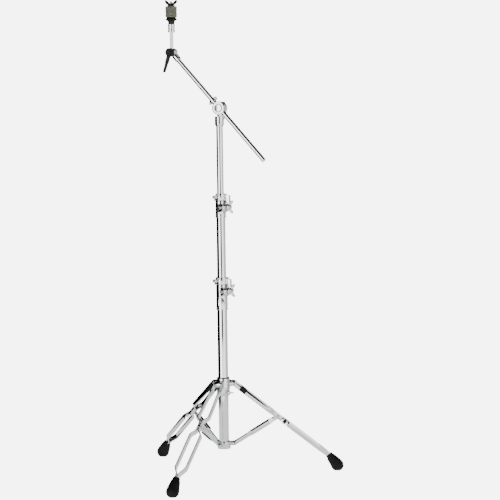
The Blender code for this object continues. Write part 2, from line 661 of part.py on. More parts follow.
def make_memory_lock(stand, level, clamp_top, inner_radius):
    """Hinged ring that rests on the clamp: keyed half, gate, hinge pin and closing screw."""
    lock = upright_frame(f"{level}_memory_lock_axis", stand, clamp_top + GAP, LOCK_TURN)
    inner = inner_radius + GAP
    outer = inner + LOCK_WALL
    hinge_x = outer + 0.0010
    split = 4.0
    ring = solid(f"{level}_lock_ring",
                 half_ring(inner, outer, 0, LOCK_HEIGHT, 180 + split, 360 - split),
                 cast_chrome, lock)
    gate = solid(f"{level}_lock_gate",
                 half_ring(inner, outer, 0, LOCK_HEIGHT, split, 180 - split),
                 cast_chrome, lock)

    key_bottom = -EAR_BELOW_TOP + 2 * GAP
    key_root = inner_radius + 0.0075
    key_top = LOCK_HEIGHT - LOCK_KEY_RISE
    outline = [(outer - 0.002, 0.0005), (key_root, 0.0005), (key_root, key_bottom),
               (EAR_REACH - 0.002, key_bottom), (EAR_REACH, key_bottom + 0.002),
               (EAR_REACH, key_top - 0.003), (EAR_REACH - 0.003, key_top),
               (outer - 0.002, key_top)]
    turn = Matrix.Rotation(math.radians(LOCK_KEY_TURN - LOCK_TURN), 4, "Z")
    join(ring, place(slab(outline, -LOCK_KEY_WIDTH / 2, LOCK_KEY_WIDTH / 2, "Y"), turn))

    knuckle = LOCK_KNUCKLE_RADIUS
    room = knuckle + GAP
    third = LOCK_HEIGHT / 3
    at_hinge = Matrix.Translation((hinge_x, 0, 0))
    cut(ring, place(rod(room, third, 2 * third), at_hinge))
    cut(gate, place(rod(room, -0.01, third), at_hinge))
    cut(gate, place(rod(room, 2 * third, LOCK_HEIGHT + 0.01), at_hinge))
    for piece, low, high in ((ring, GAP, third - GAP), (gate, third + GAP, 2 * third - GAP),
                             (ring, 2 * third + GAP, LOCK_HEIGHT - GAP)):
        join(piece, place(rod(knuckle, low, high), at_hinge))
    for piece in (ring, gate):
        cut(piece, place(rod(LOCK_PIN_RADIUS + GAP, -0.01, LOCK_HEIGHT + 0.01), at_hinge))
    pin = rod(LOCK_PIN_RADIUS, 0, LOCK_HEIGHT)
    solid(f"{level}_lock_hinge_pin", place(pin, at_hinge), zinc, lock)

    lug_low = third - 0.001
    lug_high = 2 * third + 0.001
    lug_x = -outer - LOCK_LUG
    lug_end = -inner - 0.002
    meet = outer * math.sin(math.radians(split)) + 0.0001
    join(ring, block((lug_x, -meet - 0.0035, lug_low), (lug_end, -meet, lug_high)))
    join(gate, block((lug_x, meet, lug_low), (lug_end, meet + 0.0035, lug_high)))
    screw_x = -outer - LOCK_LUG / 2
    screw_z = LOCK_HEIGHT / 2
    at_screw = Matrix.Translation((screw_x, 0, screw_z))
    hole = LOCK_SCREW_RADIUS + 3 * GAP
    cut(ring, place(rod(hole, -0.02, 0, "Y"), at_screw))
    cut(gate, place(rod(hole, 0, 0.02, "Y"), at_screw))

    ahead = lock.matrix_basis.to_3x3() @ Vector((0, -1, 0))
    lean = math.radians(LOCK_SCREW_LEAN)
    side = lock.matrix_basis.to_3x3() @ Vector((math.cos(lean), 0, math.sin(lean)))
    origin = lock.matrix_basis @ Vector((screw_x, 0, screw_z))
    axis = frame(f"{level}_lock_screw_axis", stand, origin, ahead, side)
    head = meet + 0.0035 + GAP
    radius = LOCK_SCREW_RADIUS
    neck = head + LOCK_SCREW_NECK
    profile = [(0, -head), (radius, -head), (radius, head), (0.0042, head),
               (0.0038, neck), (0, neck)]
    screw = solid(f"{level}_lock_screw", turned(profile, "X", SMALL_SIDES), chrome, axis)
    for shape in wings(neck - 0.0015, 0.009, 0.0030, LOCK_SCREW_SPAN, 0.0030):
        join(screw, shape)


# Boom, its tilter and the clamp that holds it

def make_yoke(stand, plane):
    """Casting on the top tube: a socket open for the boom rod, and one cheek for its clamp."""
    yoke = frame("boom_yoke_axis", stand, (0, 0, pivot_z), plane["back"], plane["pivot"])
    socket_top = top_tube_top - pivot_z
    low = socket_top - YOKE_SOCKET
    bore = top_radius + GAP
    radius = bore + YOKE_WALL
    shelf = socket_top + YOKE_SHELF
    profile = [(0, low - YOKE_TAPER), (bore + 0.0009, low - YOKE_TAPER), (radius, low),
               (radius, shelf - 0.001), (radius - 0.001, shelf), (0, shelf)]
    casting = solid("boom_yoke", turned(profile), cast_chrome, yoke)
    front = -disc_back - GAP
    back = front - YOKE_CHEEK
    outline = arc((0, 0), CLAMP_DISC_RADIUS - 0.0006, 200, -20, 20)
    outline += [(0.0085, socket_top - 0.008), (-0.0085, socket_top - 0.008)]
    join(casting, slab(outline, back, front, "Y"))
    cut(casting, rod(bore, low - 0.02, socket_top + GAP, "Z", SIDES))
    cut(casting, rod(boom_radius + 2 * GAP, socket_top - 0.001, shelf + 0.01, "Z", 24))
    cut(casting, rod(EYE_BOLT_DIAMETER / 2 + GAP, back - 0.01, front + 0.005, "Y"))
    return back


def make_boom(stand, plane):
    yoke_back = make_yoke(stand, plane)
    pivot = Vector((0, 0, pivot_z))
    side = plane["pivot"].cross(plane["boom"])
    tilt = frame("boom_clamp_axis", stand, pivot, side, plane["pivot"])
    seat = eye_radius + GAP
    bolt_bore = EYE_BOLT_DIAMETER / 2 + GAP
    disc = [(CLAMP_DISC_RADIUS - 0.0015, disc_front), (seat, disc_front), (seat, -eye_floor),
            (bolt_bore, -eye_floor), (bolt_bore, -disc_back),
            (CLAMP_DISC_RADIUS, -disc_back), (CLAMP_DISC_RADIUS, disc_front - 0.0015)]
    clamp = solid("boom_clamp", turned(disc, "Y"), cast_chrome, tilt)
    cut(clamp, rod(boom_bore, -0.03, 0.03, "Z", 24))

    shank = EYE_BOLT_DIAMETER / 2
    bolt_end = yoke_back - GAP - WING_REACH * 0.75
    eye_face = disc_front - 0.0004
    profile = [(0, eye_face), (eye_radius - 0.0012, eye_face), (eye_radius, eye_face - 0.0012),
               (eye_radius, GAP - eye_floor), (shank, GAP - eye_floor), (shank, bolt_end),
               (0, bolt_end)]
    bolt = solid("boom_eye_bolt", turned(profile, "Y"), chrome, tilt)
    cut(bolt, rod(boom_bore, -0.03, 0.03, "Z", 24))

    nut_axis = frame("boom_wing_nut_axis", stand, pivot, -plane["pivot"], (0, 0, 1))
    make_wing_nut("boom_wing_nut", nut_axis, -yoke_back + GAP, shank)

    slide = frame("boom_rod_axis", stand, pivot, side, plane["pivot"])
    spigot = boom_radius - BOOM_WALL
    rod_low = -BOOM_DOWN + BOOM_PLUG
    solid("boom_rod", tube(boom_radius, spigot, rod_low, BOOM_UP, sides=24), chrome, slide)
    profile = [(0, -BOOM_DOWN), (boom_radius - 0.0015, -BOOM_DOWN),
               (boom_radius, -BOOM_DOWN + 0.0015), (boom_radius, rod_low - GAP),
               (spigot - GAP, rod_low - GAP), (spigot - GAP, rod_low + 0.012), (0, rod_low + 0.012)]
    solid("boom_end_plug", turned(profile, sides=24), chrome, slide)

    low = STOP_COLLAR_PLACE - STOP_COLLAR_WIDTH / 2
    high = STOP_COLLAR_PLACE + STOP_COLLAR_WIDTH / 2
    outer = boom_bore + STOP_COLLAR_WALL
    ring = tube(outer, boom_bore, low, high, sides=24)
    collar = solid("boom_stop_collar", ring, cast_chrome, slide)
    screw = rod(0.0030, boom_bore + 0.0008, outer + 0.0060, "X")
    lift = Matrix.Translation((0, 0, STOP_COLLAR_PLACE))
    join(collar, place(screw, lift))
    knob = rod(0.0046, boom_bore + 0.0008, outer + 0.0045, "X")
    flip = Matrix.Rotation(math.pi, 4, "Z")
    join(collar, place(knob, lift @ flip))

    make_cymbal_tilter(stand, plane, pivot + plane["boom"] * (BOOM_UP + TILTER_REACH), side)


def make_cymbal_tilter(stand, plane, hinge, side):
    lower = frame("tilter_socket_axis", stand, hinge, side, plane["pivot"])
    bolt_hole = TILTER_BOLT_DIAMETER / 2 + GAP
    disc = tube(TILTER_RADIUS, bolt_hole, -TILTER_BACK, -tilter_plane, "Y")
    socket = solid("tilter_socket", disc, cast_chrome, lower)
    start = -TILTER_REACH - TILTER_SOCKET_LENGTH + 0.004
    end = -TILTER_RADIUS - 0.0004
    sleeve = rod(boom_bore + TILTER_SOCKET_WALL, start, end, "Z", 24)
    join(socket, sleeve)
    bridge = block((-0.0065, -TILTER_BACK + 0.001, start + 0.004), (0.0065, -tilter_plane, -0.0060))
    join(socket, bridge)
    cut(socket, rod(boom_bore, start - 0.02, GAP - TILTER_REACH, "Z", 24))

    head_end = TILTER_FRONT
    shank = TILTER_BOLT_DIAMETER / 2
    bolt_head = -TILTER_BACK - GAP
    profile = [(0, bolt_head - 0.0045), (0.0062, bolt_head - 0.0045), (0.0070, bolt_head - 0.0036),
               (0.0070, bolt_head), (shank, bolt_head), (shank, head_end + 0.0070),
               (0, head_end + 0.0070)]
    solid("tilter_bolt", turned(profile, "Y", 24), zinc, lower)

    head = frame("tilter_head_axis", stand, hinge, plane["back"], plane["pivot"])
    disc = tube(TILTER_RADIUS - 0.0006, bolt_hole, -tilter_plane + GAP, TILTER_FRONT, "Y")
    post = solid("cymbal_rod", disc, chrome, head)
    seat = SLEEVE_ABOVE_HINGE
    felt_start = seat + SLEEVE_HEIGHT + GAP + CUP_HEIGHT + GAP
    rod_top = felt_start + 2 * FELT_HEIGHT + GAP + ROD_ABOVE_FELTS
    step = seat + SLEEVE_HEIGHT - 0.004
    rod_radius = ROD_DIAMETER / 2
    thread_radius = THREAD_DIAMETER / 2
    profile = [(0, 0.0060), (rod_radius, 0.0060), (rod_radius, step), (thread_radius, step),
               (thread_radius, rod_top - 0.001), (thread_radius - 0.001, rod_top), (0, rod_top)]
    join(post, turned(profile, sides=24))
    cut(post, rod(bolt_hole, -0.02, 0.02, "Y"))

    lever = frame("tilter_lever_axis", stand, hinge, plane["back"], plane["pivot"])
    make_lever(lever)

    bore = rod_radius + GAP
    profile = [(bore, seat), (SLEEVE_RADIUS - 0.0006, seat), (SLEEVE_RADIUS, seat + 0.0006),
               (SLEEVE_RADIUS, step - GAP), (bore, step - GAP)]
    solid("seat_sleeve", turned(profile, sides=24), chrome, head)
    make_cymbal_seat(stand, head, hinge, seat, felt_start, rod_top)


def make_cymbal_seat(stand, head, hinge, seat, felt_start, rod_top):
    thread = THREAD_DIAMETER / 2 + GAP
    cup_low = seat + SLEEVE_HEIGHT - 0.004
    brim = felt_start - GAP - CUP_HAT_HEIGHT - CUP_BRIM
    profile = [(thread, cup_low), (CUP_HUB_RADIUS, cup_low), (CUP_HUB_RADIUS + 0.0015, brim - 0.001),
               (CUP_RADIUS - 0.0015, brim - 0.0004), (CUP_RADIUS, brim),
               (CUP_RADIUS, brim + 0.0010), (CUP_HAT_RADIUS + 0.001, brim + CUP_BRIM),
               (CUP_HAT_RADIUS - 0.001, felt_start - GAP), (thread, felt_start - GAP)]
    solid("cup_washer", turned(profile), black_plastic, head)

    second = felt_start + FELT_HEIGHT + GAP
    solid("lower_felt", felt_ring(felt_start), felt, head)
    lift = frame("upper_felt_axis", stand, hinge, (1, 0, 0), (0, 1, 0))
    solid("upper_felt", felt_ring(second), felt, lift)

    nut_start = second + FELT_HEIGHT + GAP
    top = nut_start + NUT_BASE_HEIGHT
    turn = frame("cymbal_wing_nut_axis", stand, hinge, (0, 0, 1), (1, 0, 0))
    profile = [(thread, nut_start), (NUT_BASE_RADIUS, nut_start),
               (NUT_BASE_RADIUS, top - 0.0008), (0.0070, top), (0.0062, top + 0.0030),
               (thread, top + 0.0030)]
    nut = solid("cymbal_wing_nut", turned(profile, "X", 24), black_plastic, turn)
    for shape in wings(top - 0.0015, NUT_WING_HEIGHT, 0.0058, CUP_RADIUS, 0.0062):
        join(nut, shape)
    cut(nut, rod(thread, nut_start - 0.005, top + 0.03, "X", 24))


def felt_ring(start):
    edge = 0.0022
    end = start + FELT_HEIGHT
    return turned([(FELT_BORE, start), (FELT_RADIUS - edge, start), (FELT_RADIUS, start + edge),
                   (FELT_RADIUS, end - edge), (FELT_RADIUS - edge, end), (FELT_BORE, end)])


def make_lever(axis):
    """Locking lever: a thick hub on the tilter's bolt and a tapered arm that hangs down."""
    low = TILTER_FRONT + GAP
    high = low + LEVER_THICKNESS
    pocket = low + 0.0075
    shank = TILTER_BOLT_DIAMETER / 2 + GAP
    profile = [(0, high), (LEVER_RADIUS - 0.0015, high), (LEVER_RADIUS, high - 0.0015),
               (LEVER_RADIUS, low), (shank, low), (shank, pocket), (0, pocket)]
    lever = solid("tilter_lever", turned(profile, "Y", 24), black_plastic, axis)
    root = LEVER_RADIUS - 0.0015
    outline = [(-LEVER_ROOT, -root + 0.003), (-LEVER_TIP, -LEVER_LENGTH + LEVER_TIP)]
    outline += arc((0, -LEVER_LENGTH + LEVER_TIP), LEVER_TIP, 200, 340, 6)
    outline += [(LEVER_TIP, -LEVER_LENGTH + LEVER_TIP), (LEVER_ROOT, -root + 0.003)]
    arm = slab(outline, low + 0.0012, high - 0.0012, "Y")
    join(lever, place(arm, Matrix.Rotation(math.radians(-LEVER_TURN), 4, "Y")))


def make_tubes(stand):
    inner = base_radius - TUBE_WALL
    solid("base_tube", tube(base_radius, inner, base_tube_bottom, base_tube_top), chrome, stand)
    inner = middle_radius - TUBE_WALL
    bottom = middle_tube_top - MIDDLE_TUBE_LENGTH
    solid("middle_tube", tube(middle_radius, inner, bottom, middle_tube_top), chrome, stand)
    inner = top_radius - TUBE_WALL
    bottom = top_tube_top - TOP_TUBE_LENGTH
    solid("top_tube", tube(top_radius, inner, bottom, top_tube_top), chrome, stand)


def boom_plane():
    """Directions of the boom's upright plane: its pivot, its rise and its horizontal."""
    turn = math.radians(BOOM_TURN)
    slope = math.radians(BOOM_SLOPE)
    back = Vector((-math.cos(turn), math.sin(turn), 0))
    pivot = Vector((-math.sin(turn), -math.cos(turn), 0))
    boom = back * math.cos(slope) + Vector((0, 0, 1)) * math.sin(slope)
    return {"back": back, "pivot": pivot, "boom": boom}


def centre_on_floor(stand):
    """Shift the stand so that the middle of its box is over the origin."""
    bpy.context.view_layer.update()
    corners = []
    depsgraph = bpy.context.evaluated_depsgraph_get()
    for piece in bpy.data.objects:
        if piece.type == "MESH" and not piece.hide_render:
            shown = piece.evaluated_get(depsgraph)
            corners += [shown.matrix_world @ vert.co for vert in shown.data.vertices]
    low = [min(corner[axis] for corner in corners) for axis in range(3)]
    high = [max(corner[axis] for corner in corners) for axis in range(3)]
    stand.location = (-(low[0] + high[0]) / 2, -(low[1] + high[1]) / 2, -low[2])


clear_scene()
chrome = material("polished_chrome", (0.80, 0.81, 0.82), 0.08, 1.0)
cast_chrome = material("cast_chrome", (0.72, 0.73, 0.74), 0.16, 1.0)
zinc = material("zinc_plated_steel", (0.55, 0.56, 0.57), 0.28, 1.0)
rubber = material("black_rubber", (0.018, 0.019, 0.018), 0.75, 0.0)
nylon = material("black_nylon", (0.022, 0.022, 0.023), 0.50, 0.0)
black_plastic = material("black_plastic", (0.015, 0.015, 0.016), 0.40, 0.0)
felt = material("grey_green_felt", (0.16, 0.16, 0.11), 1.0, 0.0)

leg_azimuths = [LEG_TURN + 120, LEG_TURN + 240, LEG_TURN]
stand_frame = bpy.data.objects.new("stand", None)
bpy.context.collection.objects.link(stand_frame)
make_tubes(stand_frame)
make_hub(stand_frame)
make_collar(stand_frame)
for leg_name, leg_azimuth in zip(LEG_NAMES, leg_azimuths):
    make_leg(stand_frame, leg_name, leg_azimuth)
make_clamp(stand_frame, "lower", lower_clamp_top, base_radius, middle_radius, LOWER_SLEEVE)
make_clamp(stand_frame, "upper", upper_clamp_top, middle_radius, top_radius, UPPER_SLEEVE)
make_memory_lock(stand_frame, "lower", lower_clamp_top, middle_radius)
make_memory_lock(stand_frame, "upper", upper_clamp_top, top_radius)
make_boom(stand_frame, boom_plane())
centre_on_floor(stand_frame)
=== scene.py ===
import json
import math

import bpy
import numpy as np
from mathutils import Matrix, Vector


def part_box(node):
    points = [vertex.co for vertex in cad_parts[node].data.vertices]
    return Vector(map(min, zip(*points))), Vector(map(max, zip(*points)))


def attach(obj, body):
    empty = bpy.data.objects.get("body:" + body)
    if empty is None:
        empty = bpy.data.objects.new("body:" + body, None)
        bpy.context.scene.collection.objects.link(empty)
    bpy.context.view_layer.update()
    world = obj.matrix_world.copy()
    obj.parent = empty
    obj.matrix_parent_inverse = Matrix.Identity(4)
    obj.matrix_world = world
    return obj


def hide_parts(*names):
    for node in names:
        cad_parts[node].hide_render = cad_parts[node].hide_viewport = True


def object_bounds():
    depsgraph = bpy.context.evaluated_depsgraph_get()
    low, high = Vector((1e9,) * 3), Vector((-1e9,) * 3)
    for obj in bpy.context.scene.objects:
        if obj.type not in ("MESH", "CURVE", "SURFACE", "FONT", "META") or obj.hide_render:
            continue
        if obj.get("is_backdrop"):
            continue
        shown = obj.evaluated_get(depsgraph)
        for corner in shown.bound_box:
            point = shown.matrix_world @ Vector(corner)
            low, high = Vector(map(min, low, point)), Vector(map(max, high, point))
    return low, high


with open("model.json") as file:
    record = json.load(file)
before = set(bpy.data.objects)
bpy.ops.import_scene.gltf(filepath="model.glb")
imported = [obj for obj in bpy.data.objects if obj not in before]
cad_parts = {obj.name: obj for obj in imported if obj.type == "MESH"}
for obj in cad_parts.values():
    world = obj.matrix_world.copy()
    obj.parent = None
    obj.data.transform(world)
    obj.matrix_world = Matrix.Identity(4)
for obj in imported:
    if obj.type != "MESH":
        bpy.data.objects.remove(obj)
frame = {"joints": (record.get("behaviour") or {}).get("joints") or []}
cad_box = [list(corner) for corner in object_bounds()]
joints = {joint["name"]: joint for joint in frame["joints"]}

# The studio: a pale floor that runs out to a white room, and the camera that looks at the
# stand from the front, a little above its middle. The room's walls are white panels and
# narrow black ones, which draw the long bright and dark lines on the chromed tubes.
CAMERA_DISTANCE = 5.0
CAMERA_LEVEL = 0.67
CAMERA_LENS = 126.9
CAMERA_PITCH = 4.3
CAMERA_ROLL = -0.78
AIM_HEIGHT = 0.642
AIM_ASIDE = 0.0815
PANEL_STRENGTH = 12.0
SEEN_STRENGTH = 6.5
FLOOR_REACH = 0.95
FLOOR_GLOW = 1.1
FLOOR_SEEN_GLOW = 6.4


def middle(node):
    """The middle of a CAD node's box."""
    low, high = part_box(node)
    return (np.array(low) + np.array(high)) / 2


def node(tree, kind, **values):
    """A shader node with its properties set, and its numbered or named inputs after that."""
    made = tree.nodes.new(kind)
    for name, value in values.items():
        if name == "inputs":
            for key, entry in value.items():
                made.inputs[key].default_value = entry
        else:
            setattr(made, name, value)
    return made


def ramp(tree, factor, stops):
    """A colour ramp of grey stops, (place, brightness), that reads the factor."""
    made = tree.nodes.new("ShaderNodeValToRGB")
    while len(made.color_ramp.elements) < len(stops):
        made.color_ramp.elements.new(0.5)
    for element, (place, grey) in zip(made.color_ramp.elements, stops):
        element.position = place
        element.color = (grey, grey, grey, 1)
    tree.links.new(factor, made.inputs["Fac"])
    return made.outputs["Color"]


post = middle("base_tube")
pitch = math.radians(CAMERA_PITCH)
camera_data = bpy.data.cameras.new("camera")
camera_data.lens = CAMERA_LENS
camera = bpy.data.objects.new("camera", camera_data)
bpy.context.collection.objects.link(camera)
aim = Vector((post[0] + AIM_ASIDE, post[1], AIM_HEIGHT))
camera.location = (post[0], post[1] - CAMERA_DISTANCE * math.cos(pitch),
                   CAMERA_LEVEL + CAMERA_DISTANCE * math.sin(pitch))
towards = (aim - camera.location).to_track_quat("-Z", "Y").to_matrix()
roll = Matrix.Rotation(math.radians(CAMERA_ROLL), 3, "Z")
camera.rotation_euler = (towards @ roll).to_euler()
bpy.context.scene.camera = camera

room = bpy.data.worlds.new("white room")
bpy.context.scene.world = room
room.use_nodes = True
tree = room.node_tree
tree.nodes.clear()
direction = node(tree, "ShaderNodeSeparateXYZ")
tree.links.new(node(tree, "ShaderNodeTexCoord").outputs["Generated"], direction.inputs[0])
bearing = node(tree, "ShaderNodeMath", operation="ARCTAN2")
tree.links.new(direction.outputs["X"], bearing.inputs[0])
tree.links.new(direction.outputs["Y"], bearing.inputs[1])
turn = node(tree, "ShaderNodeMapRange", inputs={"From Min": -math.pi, "From Max": math.pi})
tree.links.new(bearing.outputs[0], turn.inputs["Value"])
walls = ramp(tree, turn.outputs[0], [
    (0.000, 0.17), (0.07, 0.23), (0.12, 0.24), (0.152, 0.15), (0.17, 0.000),
    (0.52, 0.000), (0.59, 0.04), (0.64, 0.07), (0.705, 0.07), (0.76, 0.075),
    (0.815, 0.11), (0.85, 0.21), (0.93, 0.21), (1.000, 0.17)])
softbox = ramp(tree, turn.outputs[0], [(0.08, 0.0), (0.094, 0.5), (0.146, 0.5), (0.16, 0.0)])
height = node(tree, "ShaderNodeMapRange", inputs={"From Min": -1.0, "From Max": 1.0})
tree.links.new(direction.outputs["Z"], height.inputs["Value"])
reach_up = ramp(tree, height.outputs[0], [(0.3, 0.0), (0.36, 1.0), (0.66, 1.0), (0.74, 0.0)])
gap = ramp(tree, turn.outputs[0], [(0.04, 0.0), (0.05, 1.0), (0.95, 1.0), (0.96, 0.0)])
gap_low = ramp(tree, height.outputs[0], [(0.45, 1.0), (0.462, 0.0)])
upper_wall = ramp(tree, height.outputs[0], [(0.64, 1.0), (0.74, 0.03)])


def blended(tree, blend_type, first, second):
    """Two colours combined in full: multiplied, or the lighter of the two."""
    made = node(tree, "ShaderNodeMix", data_type="RGBA", blend_type=blend_type)
    made.inputs["Factor"].default_value = 1.0
    tree.links.new(first, made.inputs["A"])
    tree.links.new(second, made.inputs["B"])
    return made.outputs["Result"]


panel = blended(tree, "MULTIPLY", softbox, reach_up)
front = blended(tree, "MULTIPLY", walls, blended(tree, "LIGHTEN", gap, gap_low))
lit = blended(tree, "LIGHTEN", blended(tree, "MULTIPLY", front, upper_wall), panel)
panels = node(tree, "ShaderNodeBackground", inputs={"Strength": PANEL_STRENGTH})
tree.links.new(lit, panels.inputs["Color"])
seen = node(tree, "ShaderNodeBackground", inputs={"Color": (1, 1, 1, 1),
                                                  "Strength": SEEN_STRENGTH})
choose = node(tree, "ShaderNodeMixShader")
tree.links.new(node(tree, "ShaderNodeLightPath").outputs["Is Camera Ray"], choose.inputs[0])
tree.links.new(panels.outputs[0], choose.inputs[1])
tree.links.new(seen.outputs[0], choose.inputs[2])
tree.links.new(choose.outputs[0], node(tree, "ShaderNodeOutputWorld").inputs["Surface"])

for name, place, turned_to, size, power in (
        ("left softbox", (-1.6, -1.8, 1.9), (58, 0, -42), 1.4, 5),
        ("right softbox", (2.0, -1.2, 1.4), (66, 0, 58), 1.0, 3),
        ("top softbox", (0.2, 0.6, 2.8), (-12, 0, 0), 1.6, 4)):
    light = bpy.data.lights.new(name, "AREA")
    light.size = size
    light.energy = power
    lamp = bpy.data.objects.new(name, light)
    lamp.location = place
    lamp.rotation_euler = [math.radians(angle) for angle in turned_to]
    bpy.context.collection.objects.link(lamp)

floor_mesh = bpy.data.meshes.new("floor")
corners = ((-1, -1), (1, -1), (1, 1), (-1, 1))
floor_mesh.from_pydata([(x * FLOOR_REACH, y * FLOOR_REACH, 0) for x, y in corners], [],
                       [(0, 1, 2, 3)])
floor = bpy.data.objects.new("floor", floor_mesh)
bpy.context.collection.objects.link(floor)
paper = bpy.data.materials.new("studio paper")
paper.use_nodes = True
tree = paper.node_tree
shader = tree.nodes["Principled BSDF"]
shader.inputs["Base Color"].default_value = (0.5, 0.5, 0.5, 1)
shader.inputs["Roughness"].default_value = 0.9
shader.inputs["Emission Color"].default_value = (1, 1, 1, 1)
glow = node(tree, "ShaderNodeMapRange", inputs={"To Min": FLOOR_GLOW, "To Max": FLOOR_SEEN_GLOW})
tree.links.new(node(tree, "ShaderNodeLightPath").outputs["Is Camera Ray"], glow.inputs["Value"])
tree.links.new(glow.outputs[0], shader.inputs["Emission Strength"])
floor_mesh.materials.append(paper)
floor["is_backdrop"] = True


# The base tube: drawn steel tube, 28.6 mm across, polished and chromed. It stands in the
# hub's cup at the bottom and in the lower clamp's sleeve at the top.
TUBE_WALL = 0.0012
TUBE_RIM = 0.0006
SHARP_ANGLE = 40
DRIFT = 0.15
CHROME_WAVES = 9.0
CHROME_LINES = 420.0


def along(origin, direction, side=(0.37, 0.93, 0.11)):
    """A place to build in, as four rows: an origin and three square directions.

    The third direction runs along the piece, and the first is side, squared to it.
    """
    third = np.array(direction, float) / np.linalg.norm(direction)
    first = np.array(side, float) - third * np.dot(third, side)
    first /= np.linalg.norm(first)
    return np.array([origin, first, np.cross(third, first), third], float)


def moved(points, place):
    """Each point (a, b, c) goes to the place's origin + a first + b second + c third."""
    return place[0] + points @ place[1:]


def skin(points, ring=False):
    """A closed surface over a grid of points whose columns run all the way round.

    Each point is joined to its three neighbours by one four-sided face. A ring joins its
    last row to its first; otherwise each end row is closed by one flat face.
    """
    rows, columns = points.shape[:2]
    index = np.arange(rows * columns).reshape(rows, columns)
    near = index if ring else index[:-1]
    ahead = np.roll(index, -1, axis=0) if ring else index[1:]
    quads = np.stack([near, np.roll(near, -1, 1), np.roll(ahead, -1, 1), ahead], axis=-1)
    caps = [] if ring else [index[0][::-1], index[-1]]
    return points.reshape(-1, 3), quads.reshape(-1, 4), caps


def softened(outline, radius, steps=4, closed=True):
    """The outline with each corner P replaced by (1-t)(1-t) A + 2t(1-t) P + tt B.

    A and B lie on the two edges at P, a radius away from it or 45% of the edge if less.
    """
    outline = np.array(outline, float)
    before = np.roll(outline, 1, axis=0) - outline
    after = np.roll(outline, -1, axis=0) - outline
    share = [np.minimum(radius / np.linalg.norm(edge, axis=1), 0.45)[:, None]
             for edge in (before, after)]
    start, end = outline + before * share[0], outline + after * share[1]
    t = np.linspace(0, 1, steps + 1)[:, None, None]
    curve = (1 - t) ** 2 * start + 2 * t * (1 - t) * outline + t ** 2 * end
    curve = curve.transpose(1, 0, 2)
    if closed:
        return curve.reshape(-1, 2)
    return np.concatenate([outline[:1], curve[1:-1].reshape(-1, 2), outline[-1:]])


def turned(profile, place, ring=True, count=96):
    """A profile of (radius, height) turned round the place's third direction.

    Point (r, h) at angle a goes to (r cos a, r sin a, h).
    """
    radius, height = np.array(profile, float).T
    angle = np.linspace(0, 2 * np.pi, count, endpoint=False)
    points = np.stack([np.outer(radius, np.cos(angle)), np.outer(radius, np.sin(angle)),
                       np.repeat(height[:, None], count, axis=1)], axis=-1)
    return skin(moved(points, place), ring)


def turned_section(section, edge, place, count=96):
    """A ring turned from a closed section with softened corners."""
    return turned(softened(section, edge), place, count=count)


def turned_ring(bore, radius, low, high, edge, place, count=96):
    """A ring with a four-cornered section, from bore to radius and from low to high."""
    return turned_section([(bore, low), (radius, low), (radius, high), (bore, high)], edge,
                          place, count)


def turned_solid(profile, edge, place, count=96):
    """A turned profile with softened corners, closed by a flat disc at each end."""
    return turned(softened(profile, edge, closed=False), place, False, count)


def outward(shell):
    """The shell with its faces turned out: its volume, summed over face fans, is above 0."""
    points, quads, caps = shell
    centred = points - points.mean(0)
    corner = centred[quads]
    volume = np.einsum("ij,ij->", corner[:, 0], np.cross(corner[:, 1], corner[:, 2]))
    volume += np.einsum("ij,ij->", corner[:, 0], np.cross(corner[:, 2], corner[:, 3]))
    for cap in caps:
        fan = centred[cap]
        volume += np.sum(np.cross(fan[1:-1], fan[2:]) @ fan[0])
    if volume > 0:
        return shell
    return points, quads[:, ::-1], [cap[::-1] for cap in caps]


def piece(name, shells, finish, body, *nodes):
    """One object made of closed shells. It rides on a body and stands for CAD nodes."""
    points, faces, smooth = [], [], []
    start = 0
    for shell in shells:
        own, quads, caps = outward(shell)
        points.append(own)
        faces += (quads + start).tolist() + [(cap + start).tolist() for cap in caps]
        smooth += [True] * len(quads) + [False] * len(caps)
        start += len(own)
    mesh = bpy.data.meshes.new(name)
    mesh.from_pydata(np.concatenate(points).tolist(), [], faces)
    mesh.polygons.foreach_set("use_smooth", smooth)
    mesh.set_sharp_from_angle(angle=math.radians(SHARP_ANGLE))
    mesh.materials.append(finish)
    made = bpy.data.objects.new(name, mesh)
    bpy.context.collection.objects.link(made)
    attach(made, body)
    if nodes:
        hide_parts(*nodes)
    return made


def finish(name, slot, colour, roughness, metallic=0.0, shine=0.5):
    """A material with the shader's own colour and numbers set, for a record's slot."""
    made = bpy.data.materials.new(name)
    made.use_nodes = True
    made["slot"] = slot
    made.diffuse_color = (*colour, 1)
    shader = made.node_tree.nodes["Principled BSDF"]
    shader.inputs["Base Color"].default_value = (*colour, 1)
    shader.inputs["Roughness"].default_value = roughness
    shader.inputs["Metallic"].default_value = metallic
    shader.inputs["Specular IOR Level"].default_value = shine
    return made


def noise(made, scale, detail=3.0, stretch=(1, 1, 1)):
    """Noise over a piece's own coordinates, scaled per metre and stretched by axis."""
    tree = made.node_tree
    place = node(tree, "ShaderNodeMapping", inputs={"Scale": stretch})
    tree.links.new(node(tree, "ShaderNodeTexCoord").outputs["Object"], place.inputs[0])
    grain = node(tree, "ShaderNodeTexNoise", inputs={"Scale": scale, "Detail": detail})
    tree.links.new(place.outputs[0], grain.inputs["Vector"])
    return grain.outputs["Fac"]


def drifting(made, factor, width, low=0.0, high=1.0):
    """A number that goes from low to high as the factor goes from width below half to above."""
    change = node(made.node_tree, "ShaderNodeMapRange", inputs={
        "From Min": 0.5 - width, "From Max": 0.5 + width, "To Min": low, "To Max": high})
    made.node_tree.links.new(factor, change.inputs["Value"])
    return change.outputs[0]


def spread_roughness(made, factor, low, high):
    """Let a material's roughness drift from low to high with the factor."""
    tree = made.node_tree
    tree.links.new(drifting(made, factor, DRIFT, low, high),
                   tree.nodes["Principled BSDF"].inputs["Roughness"])


